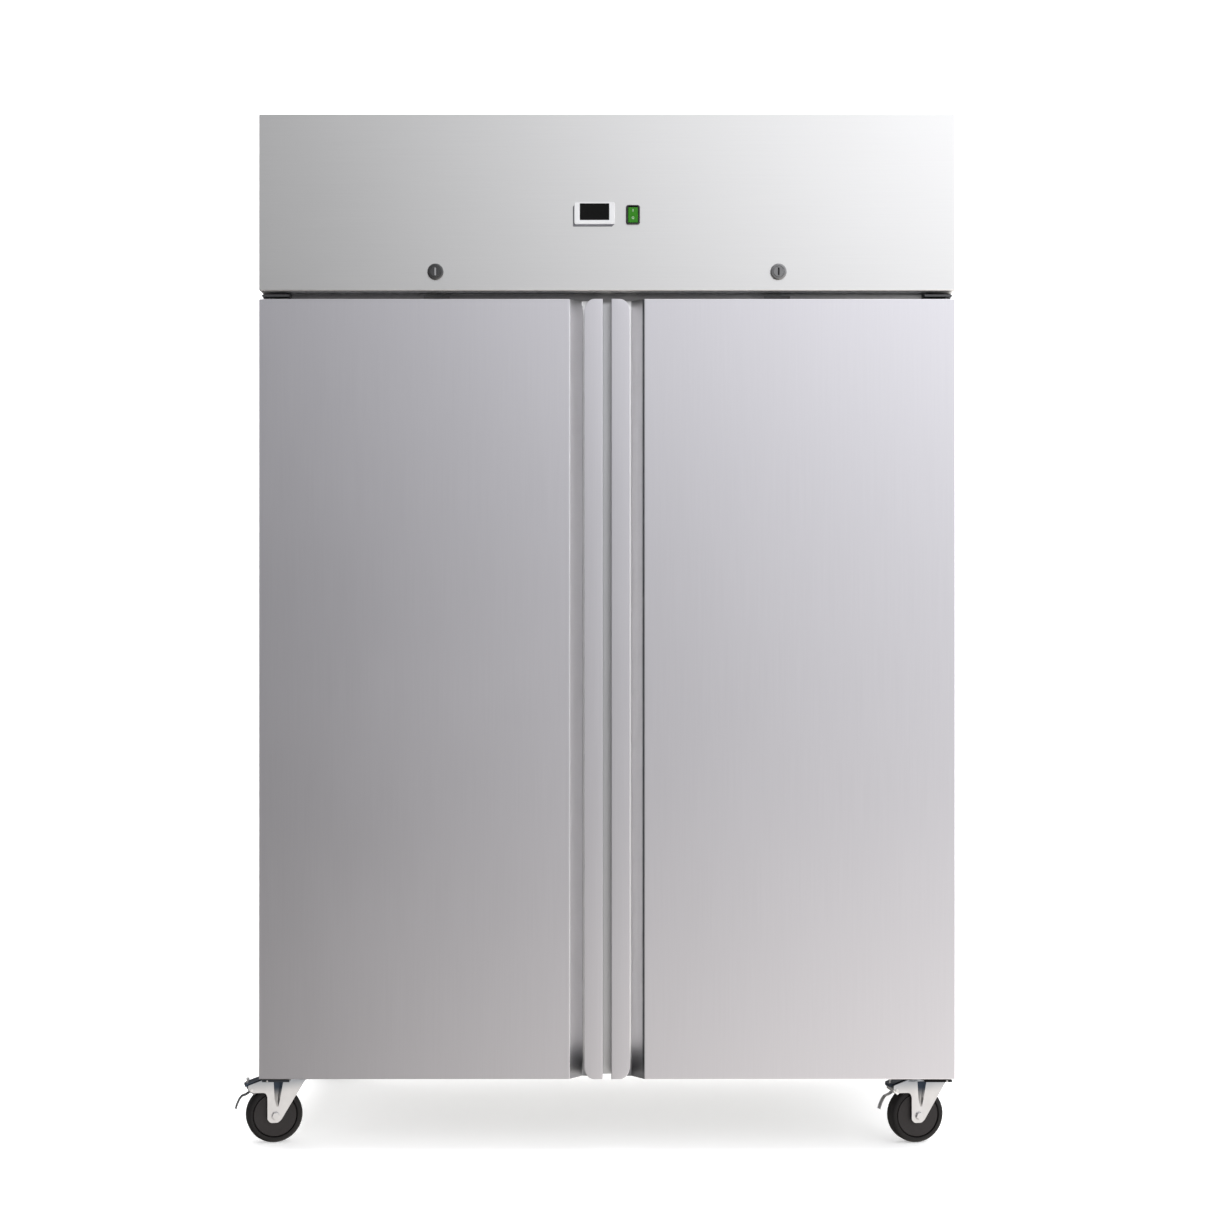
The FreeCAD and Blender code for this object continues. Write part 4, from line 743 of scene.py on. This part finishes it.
make_switch_surround()
make_rocker()


# Locks: the left one is the darker, with a shallow bright slot; the right one's slot is deep.

SLOT_HALF = 1.5
SLOT_TALL = 7.6
DISC_R = 9.9
RIM_R = 10.4
CAM_REACH = 39.0


def make_lock(side):
    name = "left" if side < 0 else "right"
    tone = "lock_dark" if side < 0 else "lock_grey"
    make_lock_housing(side * LOCK_X, name, tone)
    make_lock_plug(side, name, tone)


def make_lock_housing(x, name, tone):
    """Rim, barrel with its thread, and the nut behind the sheet."""
    bm = bmesh.new()
    add_lathe(bm, [(10.56, 4.5), (10.56, -5.6), (11.0, -6.0), (14.0, -6.0), (14.9, -5.4), (15.4, -4.4),
                   (15.4, -0.6), (15.0, 0.0), (9.4, 0.0), (9.4, 28.0), (5.1, 28.0), (5.1, 4.5),
                   (10.56, 4.5)], (x, FRONT, LOCK_Z), (0, 1, 0), 64)
    for k in range(9):
        at = 8.0 + 2.1 * k
        add_lathe(bm, [(9.3, at), (9.75, at + 0.6), (9.75, at + 0.9), (9.3, at + 1.5)],
                  (x, FRONT, LOCK_Z), (0, 1, 0), 48)
    add_prism(bm, hexagon(x, LOCK_Z, 15.0, 30), 1, FRONT + 1.3, FRONT + 6.2)
    finish_piece(f"lock_{name}_housing", bm, "header", tone, ("lock_barrels",),
                 angle=40.0)


def add_key_face(bm, x, front, floor):
    """A disc with a slot sunk in it: two rings of points on the same rays, and the rim behind."""
    slot, disc = [], []
    for k in range(72):
        c, q = math.cos(math.radians(5 * k + 2.5)), math.sin(math.radians(5 * k + 2.5))
        reach = min(SLOT_HALF / abs(c), SLOT_TALL / abs(q))
        slot.append((x + reach * c, LOCK_Z + reach * q))
        disc.append((x + DISC_R * c, LOCK_Z + DISC_R * q))
    wide = [(x + (px - x) * RIM_R / DISC_R, LOCK_Z + (pz - LOCK_Z) * RIM_R / DISC_R) for px, pz in disc]
    rings = [add_ring(bm, [(px, y, pz) for px, pz in outline]) for outline, y in
             ((slot, floor), (slot, front), (disc, front), (wide, front + 0.5), (wide, FRONT - 1.9))]
    join_rings(bm, rings)
    bm.faces.new(rings[0])
    bm.faces.new(rings[-1])


def make_lock_plug(side, name, tone):
    """Key face, shaft, the long cam and the bolt that holds it."""
    x = side * LOCK_X
    bm = bmesh.new()
    front = FRONT - 6.5
    floor = front + (0.8 if side < 0 else 2.9)
    add_key_face(bm, x, front, floor)
    add_lathe(bm, [(0, -1.9), (4.95, -1.9), (4.95, 35.4), (4.4, 36.0), (0, 36.0)],
              (x, FRONT, LOCK_Z), (0, 1, 0), 32)
    cam = []
    for centre, start in ((x - side * CAM_REACH, side * 90), (x, -side * 90)):
        for k in range(13):
            a = math.radians(start + 15 * k)
            cam.append((centre + 7 * math.cos(a), LOCK_Z + 7 * math.sin(a)))
    add_prism(bm, cam, 1, FRONT + 30.0, FRONT + 33.0)
    add_prism(bm, hexagon(x, LOCK_Z, 5.6, 0), 1, FRONT + 33.0, FRONT + 35.8)

    def in_slot(c):
        return (abs(c.x - x) < SLOT_HALF + 0.1 and abs(c.z - LOCK_Z) < SLOT_TALL + 0.1
                and front + 0.1 < c.y < floor + 0.1)

    # The right lock's slot is painted near black, painted shade for the depth of its keyway.
    finish_piece(f"lock_{name}_plug", bm, f"lock_{name}", tone,
                 (f"lock_cylinder_{name}",), angle=35.0,
                 second="slot_light" if side < 0 else "slot_dark", where=in_slot)


for lock_side in (-1, 1):
    make_lock(lock_side)


# Casters. Everything is made in the caster's own frame, swivel on Z and trailing along -X, then
# carried to its corner by one matrix.

CASTER_X = 630.0
CASTER_FRONT_Y = -301.0
CASTER_REAR_Y = 340.0
CASTER_TURN = 15.0
LEG_INSIDE = 20.0
LEG_OUTSIDE = 23.0


def corner_matrix(x, y, turn):
    return Matrix.Translation(Vector((x, y, 0)) * MM) @ Matrix.Rotation(math.radians(turn), 4, "Z")


def leg_points():
    """The pressed leg's outline in X and Z, rounded as the press leaves it."""
    corners = [(CROWN_AHEAD, CROWN), (-14.2, 47.0), (-20.5, 41.4), (-35.3, 41.4), (-41.2, 48.0),
               (-41.3, 92), (-44.8, 101.0), (-70, 101.8), (-79.0, 109.5), (-79.0, 116.5), (-48, CROWN)]
    return rounded(corners, [0, 5, 9, 8, 5, 6, 9, 6, 3, 3, 0], 5)


FLUTE_MOUTH = [(-29.5, 124.8), (-10.0, 124.8), (-16.5, 88.0), (-20.0, 73.0), (-23.4, 73.0), (-27.4, 88.0)]
FLUTE_FLOOR = [(-25.4, 123.6), (-14.4, 123.6), (-19.8, 95.0), (-21.4, 82.0), (-22.2, 82.0), (-23.6, 95.0)]


def add_leg(bm, side):
    """One leg of the fork: a plate whose outer face has a flute pressed into it."""
    rings = []
    for outline, depth in ((leg_points(), LEG_INSIDE), (leg_points(), LEG_OUTSIDE),
                           (FLUTE_MOUTH, LEG_OUTSIDE), (FLUTE_FLOOR, LEG_INSIDE + 0.7)):
        rings.append(add_ring(bm, [(x, side * depth, z) for x, z in outline]))
    inside, rim, mouth, floor = rings
    join_rings(bm, (inside, rim))
    join_rings(bm, (mouth, floor))
    bm.faces.new(inside)
    bm.faces.new(floor)
    edges = [bm.edges.get((ring[k - 1], ring[k])) for ring in (rim, mouth) for k in range(len(ring))]
    bmesh.ops.triangle_fill(bm, edges=edges, use_beauty=True)


def make_fork(name, matrix, braked):
    make_pressing(name, matrix)
    make_axle(name, matrix)
    make_brake_arm(name, matrix, braked)


def make_pressing(name, matrix):
    """Two legs, the crown between them and the swivel race."""
    bm = bmesh.new()
    for side in (-1, 1):
        add_leg(bm, side)
    add_box(bm, -48, CROWN_AHEAD, -LEG_OUTSIDE, LEG_OUTSIDE, CROWN - 4, CROWN)
    add_lathe(bm, [(7.0, CROWN - 2), (31.5, CROWN - 2), (31.5, CROWN + 3.4), (30.2, CROWN + 4.9),
                   (7.0, CROWN + 4.9), (7.0, CROWN - 2)], (0, 0, 0), (0, 0, 1), 48)
    bm.transform(matrix)
    local = matrix.inverted()

    def in_flute(centre):
        x, y, z = (local @ (centre * MM)) / MM
        return LEG_INSIDE + 0.3 < abs(y) < LEG_OUTSIDE - 0.1 and -31 < x < -8 and z > 70

    # Painted shade: the flute's faces take the darker flute_zinc.
    finish_piece(f"{name}_pressing", bm, name, "caster_zinc",
                 (f"caster_fork_{name.removeprefix('caster_')}",), bevel=0.8, segments=3,
                 second="flute_zinc", where=in_flute)


def make_axle(name, matrix):
    """The axle bolt with a washer and a hexagon at each end."""
    bm = bmesh.new()
    for side in (-1, 1):
        start = side * LEG_OUTSIDE
        washer = [(0, start), (8.2, start), (8.2, start + side * 1.0), (0, start + side * 1.0)]
        add_lathe(bm, washer, (-TRAIL, 0, WHEEL_R), (0, 1, 0), 32)
        add_prism(bm, hexagon(-TRAIL, WHEEL_R, 7.5, 10), 1, start + side * 1.0,
                  start + side * (4.4 if side < 0 else 5.0))
    add_lathe(bm, [(0, -22), (4.9, -22), (4.9, 29.4), (4.3, 30.0), (0, 30.0)], (-TRAIL, 0, WHEEL_R),
              (0, 1, 0), 32)
    bm.transform(matrix)
    finish_piece(f"{name}_axle", bm, name, "caster_zinc", bevel=0.5, segments=2)


def make_brake_arm(name, matrix, braked):
    """The arm behind the crown and its set screw, with the pedal's pin on a braked caster."""
    bm = bmesh.new()
    add_prism(bm, [(-83, 112), (-83, 116.4), (-36, CROWN + 3.4), (-36, CROWN + 0.1),
                   (-48, CROWN + 0.1), (-56, 120.6)], 1, -13, 13)
    bm.transform(matrix)
    finish_piece(f"{name}_brake_arm", bm, name, "dark_zinc", bevel=0.9, segments=3)

    bm = bmesh.new()
    add_lathe(bm, [(0, 113.6), (1.8, 114.2), (2.3, 115.0), (2.3, 124.4), (3.2, 124.6), (3.2, 127.8),
                   (2.4, 128.4), (0, 128.4)], (-77, 0, 0), (0, 0, 1), 24)
    if braked:
        add_lathe(bm, [(0, -24.0), (3.0, -24.0), (3.0, 24.0), (0, 24.0)], PEDAL_PIN, (0, 1, 0), 24)
    bm.transform(matrix)
    finish_piece(f"{name}_set_screw", bm, name, "lock_rim")


def make_wheel(name, body, matrix):
    tyre = [(43.4, -14.6), (44.2, -15.9), (47.2, -15.9), (50.6, -15.0), (52.8, -13.4), (54.2, -11.0),
            (54.9, -8.0), (55.0, -4.0), (55.0, 4.0), (54.9, 8.0), (54.2, 11.0), (52.8, 13.4),
            (50.6, 15.0), (47.2, 15.9), (44.2, 15.9), (43.4, 14.6), (42.8, 12.0), (42.8, -12.0),
            (43.4, -14.6)]
    bm = bmesh.new()
    add_lathe(bm, tyre, (-TRAIL, 0, WHEEL_R), (0, 1, 0), 96)
    bm.transform(matrix)
    finish_piece(f"{name}_tyre", bm, body, "rubber",
                 (f"caster_wheel_{name.removeprefix('caster_')}",), angle=40.0)
    hub = [(5.1, -19.0), (12.2, -19.0), (13.0, -18.2), (13.8, -15.6), (15.2, -15.2), (40.4, -15.2),
           (41.4, -14.8), (41.8, -13.8), (41.9, -12.6), (42.7, -12.2), (42.7, 12.2), (41.9, 12.6),
           (41.8, 13.8), (41.4, 14.8), (40.4, 15.2), (15.2, 15.2), (13.8, 15.6), (13.0, 18.2),
           (12.2, 19.0), (5.1, 19.0), (5.1, -19.0)]
    bm = bmesh.new()
    add_lathe(bm, hub, (-TRAIL, 0, WHEEL_R), (0, 1, 0), 96)
    bm.transform(matrix)
    finish_piece(f"{name}_hub", bm, body, "hub_black", angle=40.0)


def make_pedal(name, body, matrix):
    spine = [(-71.2, 103.2), (-75.6, 99.0), (-79.6, 96.2), (-84.0, 94.6), (-88.6, 93.2), (-93.0, 87.6),
             (-96.6, 80.6), (-99.2, 74.0), (-100.8, 68.4)]
    bm = bmesh.new()
    thick = 1.6
    upper, lower = [], []
    for k, p in enumerate(spine):
        ahead = Vector(spine[min(k + 1, len(spine) - 1)]) - Vector(spine[max(k - 1, 0)])
        across = Vector((-ahead.y, ahead.x)).normalized() * (thick / 2)
        upper.append(tuple(Vector(p) - across))
        lower.append(tuple(Vector(p) + across))
    add_prism(bm, upper + lower[::-1], 1, -7.5, 7.5)
    add_lathe(bm, [(3.1, -18.0), (5.9, -18.0), (5.9, 18.0), (3.1, 18.0), (3.1, -18.0)], PEDAL_PIN,
              (0, 1, 0), 32)
    # The shoe starts inside the sleeve's wall, clear of the pin.
    add_prism(bm, [(-73.1, 101.2), (-65.9, 108.0), (-59.8, 99.8), (-65.4, 94.6)], 1, -9.8, 9.8)
    bm.transform(matrix)
    finish_piece(f"{name}_tread", bm, body, "pedal_zinc",
                 (f"brake_pedal_{name.removeprefix('caster_')}",), bevel=0.6, segments=2)


CORNERS = {"front_left": (-CASTER_X, CASTER_FRONT_Y, CASTER_TURN),
           "front_right": (CASTER_X, CASTER_FRONT_Y, CASTER_TURN),
           "rear_left": (-CASTER_X, CASTER_REAR_Y, CASTER_TURN + 180.0),
           "rear_right": (CASTER_X, CASTER_REAR_Y, CASTER_TURN + 180.0)}

for corner, (corner_x, corner_y, corner_turn) in CORNERS.items():
    place = corner_matrix(corner_x, corner_y, corner_turn)
    front_one = corner.startswith("front")
    make_fork(f"caster_{corner}", place, front_one)
    make_wheel(f"caster_{corner}", f"wheel_{corner}", place)
    if front_one:
        make_pedal(f"caster_{corner}", f"pedal_{corner}", place)


# The rest of the frame keeps its CAD shapes, with edge radii and finishes; the hinge brackets take painted
# shade.

DRESSED = {
    "side_panel_left": ("side_steel", 0.4), "side_panel_right": ("side_steel", 0.4),
    "front_frame": ("frame_steel", 0.0), "centre_mullion": ("frame_steel", 0.0),
    "inner_liner": ("liner_steel", 0.0), "cabinet_foam": ("foam", 0.0),
    "back_panel": ("zinc_sheet", 0.0), "base_panel": ("zinc_sheet", 0.0),
    "machine_deck": ("zinc_sheet", 0.0), "top_cover": ("zinc_sheet", 0.0),
    "rear_grille": ("zinc_sheet", 0.0), "hinge_brackets": ("hinge_painted_shade", 0.5),
    "frame_bolts": ("bracket_zinc", 0.4), "caster_plates": ("bracket_zinc", 0.5),
    "compressor": ("black_enamel", 0.0), "compressor_grommets": ("rubber", 0.0),
    "condenser": ("coil", 0.0), "condenser_shroud": ("black_enamel", 0.0),
    "condenser_fan": ("coil", 0.0), "condenser_fan_motor": ("black_enamel", 0.0),
    "refrigerant_pipes": ("copper", 0.0), "condensate_tray": ("black_plastic", 0.4),
    "power_box": ("grey_box", 1.5), "cable_gland": ("black_plastic", 0.5),
    "evaporator_coil": ("coil", 0.0), "evaporator_cover": ("liner_steel", 0.0),
    "cooling_fan_motors": ("black_enamel", 0.0), "cooling_fan_left": ("black_plastic", 0.0),
    "cooling_fan_right": ("black_plastic", 0.0), "shelf_pilasters": ("liner_steel", 0.0),
    "shelf_slides": ("liner_steel", 0.0), "wire_shelves": ("shelf_coat", 0.0),
}
for node, (finish, edge) in DRESSED.items():
    dress(node, finish, edge)


def make_screws(name, spots, axis):
    """Low pan-head screws with a round recess, each at a point on its sheet, facing along axis."""
    bm = bmesh.new()
    for spot in spots:
        add_lathe(bm, [(4.4, 0.0), (4.3, 0.7), (3.6, 1.5), (2.4, 2.0), (0.9, 2.15), (0.5, 1.4), (0, 1.4)],
                  spot, axis, 20)
    finish_piece(name, bm, "cabinet", "bracket_zinc")


def edge_spots(x0, x1, z0, z1, y, columns, rows):
    """Evenly spaced points round a rectangle's edge, each corner once."""
    spots = [(x0 + (x1 - x0) * k / (columns - 1), y, z) for k in range(columns) for z in (z0, z1)]
    spots += [(x, y, z0 + (z1 - z0) * k / (rows - 1)) for k in range(1, rows - 1) for x in (x0, x1)]
    return spots


make_screws("back_screws",
            edge_spots(-655, 655, 160, 1640, BACK, 6, 6) + edge_spots(-655, 655, 1678, 1985, BACK, 6, 3),
            (0, 1, 0))
make_screws("top_screws",
            [(x, y, HEIGHT - 3) for x in (-655, -220, 220, 655) for y in (-335, 385)], (0, 0, 1))


def make_hinge_details():
    """Black collars between the doors and the top brackets, and a bolt on each lower arm's end."""
    bm = bmesh.new()
    for side in (-1, 1):
        add_lathe(bm, [(4.1, 0.4), (5.0, 0.7), (5.0, 5.3), (4.1, 5.6), (4.1, 0.4)],
                  (side * DOOR_PIVOT[0], DOOR_PIVOT[1], DOOR_TOP), (0, 0, 1), 32)
    finish_piece("hinge_collars", bm, "cabinet", "black_plastic")
    bm = bmesh.new()
    arm_x, arm_front, arm_middle = 656, -393, 136
    for side in (-1, 1):
        add_lathe(bm, [(1.9, 0.0), (1.9, 0.9), (1.4, 1.5), (0, 1.6)],
                  (side * arm_x, arm_front, arm_middle), (0, -1, 0), 20)
    finish_piece("hinge_end_bolts", bm, "cabinet", "lock_rim")


make_hinge_details()


def make_louvres():
    """A pressed hood over each slot of the rear grille: a thin quarter curve with closed ends."""
    deep, tall, half_width, end = 6.5, 10.0, 130, 0.8
    bm = bmesh.new()
    for bank in (-400, 0, 400):
        for row in range(9):
            z = 1745 + 22 * row
            section = []
            for k in range(7):
                a = math.radians(90 * k / 6)
                section.append((BACK + deep * math.sin(a), z + tall - tall * (1 - math.cos(a))))
            inner = [(y - (y - BACK) / deep, q - 1.0) for y, q in section[::-1]]
            add_prism(bm, section + inner, 0, bank - half_width, bank + half_width)
            for x in (bank - half_width, bank + half_width - end):
                add_prism(bm, [(BACK, z), (BACK, z + 10), *section[1:]], 0, x, x + end)
    finish_piece("rear_louvres", bm, "cabinet", "zinc_sheet", angle=40.0)


make_louvres()


# Studio: a pale floor that runs up into a pale wall, and soft panels of light.

def make_studio():
    floor_tone, nodes, links, shader = new_material("studio_paint")
    cloud = noise(nodes, links, 1.5, detail=3.0)
    links.new(blend_colours(nodes, links, remap(nodes, links, cloud, 0, 1), (0.86, 0.86, 0.86),
                            (0.88, 0.88, 0.88)), shader.inputs["Base Color"])
    shader.inputs["Roughness"].default_value = 0.9
    shader.inputs["Specular IOR Level"].default_value = 0.1
    shader.inputs["Emission Color"].default_value = (1.0, 1.0, 1.0, 1.0)
    # The far wall shines more than the floor, so the background is white and the floor keeps a shadow.
    glow = ramp(nodes, links, coordinate(nodes, links, "Object", "Y"), 2.0, 6.0, 0.40, 1.3)
    links.new(glow, shader.inputs["Emission Strength"])
    section = [(-9.0, 0.0), (0.0, 0.0), (8.0, 0.0)]
    section += [(8.0 + 2.0 * math.sin(math.radians(a)), 2.0 - 2.0 * math.cos(math.radians(a)))
                for a in range(10, 91, 10)]
    section.append((10.0, 12.0))
    mesh = bpy.data.meshes.new("studio_cove")
    verts = [(x, y, z) for y, z in section for x in (-12.0, 12.0)]
    faces = [(2 * k, 2 * k + 1, 2 * k + 3, 2 * k + 2) for k in range(len(section) - 1)]
    mesh.from_pydata(verts, [], faces)
    for face in mesh.polygons:
        face.use_smooth = True
    mesh.materials.append(floor_tone)
    cove = bpy.data.objects.new("studio_cove", mesh)
    cove.visible_glossy = False
    SCENE.collection.objects.link(cove)


def make_light(name, place, target, size, power):
    data = bpy.data.lights.new(name, "AREA")
    data.shape = "RECTANGLE"
    data.size, data.size_y = size
    data.energy = power
    light = bpy.data.objects.new(name, data)
    light.location = place
    light.rotation_euler = (Vector(target) - Vector(place)).to_track_quat("-Z", "Y").to_euler()
    SCENE.collection.objects.link(light)
    return light


def make_world():
    """Soft surroundings: dim on the left, light on the right, brightest above eye level, warm below.

    The ramps go by the world direction's X and Z, which run from -1 to 1.
    """
    world = bpy.data.worlds.new("studio_air")
    world.use_nodes = True
    nodes, links = world.node_tree.nodes, world.node_tree.links
    across, up = coordinate(nodes, links, "Generated", "X"), coordinate(nodes, links, "Generated", "Z")
    right = ramp(nodes, links, across, -0.361, 0.330, 0.02, 0.86)
    far_left = ramp(nodes, links, across, -0.95, -0.5, 0.40, 0.0)
    level = math_node(nodes, links, "ADD", right, far_left)
    sky = ramp(nodes, links, up, -0.053, 0.29, 1.0, 2.85)
    ground = ramp(nodes, links, up, -0.30, -0.08, 1.30, 0.0)
    height = math_node(nodes, links, "ADD", sky, ground)
    zenith = ramp(nodes, links, up, 0.60, 0.86, 1.0, 0.42)
    band = math_node(nodes, links, "MULTIPLY", level, height)
    strength = math_node(nodes, links, "MULTIPLY", band, zenith)
    air = world.node_tree.nodes["Background"]
    warmth = ramp(nodes, links, up, -0.26, -0.06, 1.0, 0.0)
    links.new(blend_colours(nodes, links, warmth, (0.99, 0.995, 1.01), (1.05, 1.0, 0.93)),
              air.inputs["Color"])
    links.new(strength, air.inputs["Strength"])
    # The camera itself sees plain white past the edges of the cove.
    white = nodes.new("ShaderNodeBackground")
    white.inputs["Color"].default_value = (1.0, 1.0, 1.0, 1.0)
    paths = nodes.new("ShaderNodeLightPath")
    both = nodes.new("ShaderNodeMixShader")
    links.new(paths.outputs["Is Camera Ray"], both.inputs["Fac"])
    links.new(air.outputs["Background"], both.inputs[1])
    links.new(white.outputs["Background"], both.inputs[2])
    links.new(both.outputs["Shader"], nodes["World Output"].inputs["Surface"])
    SCENE.world = world


make_studio()
make_world()
make_light("roof_panel", (0.0, 0.5, 5.2), (0.0, 0.6, 0.0), (6.0, 5.0), 200.0)
make_light("wall_wash", (0.0, 2.2, 4.8), (0.0, 5.0, 1.2), (7.0, 1.2), 120.0)
SCENE.view_settings.view_transform = "Standard"
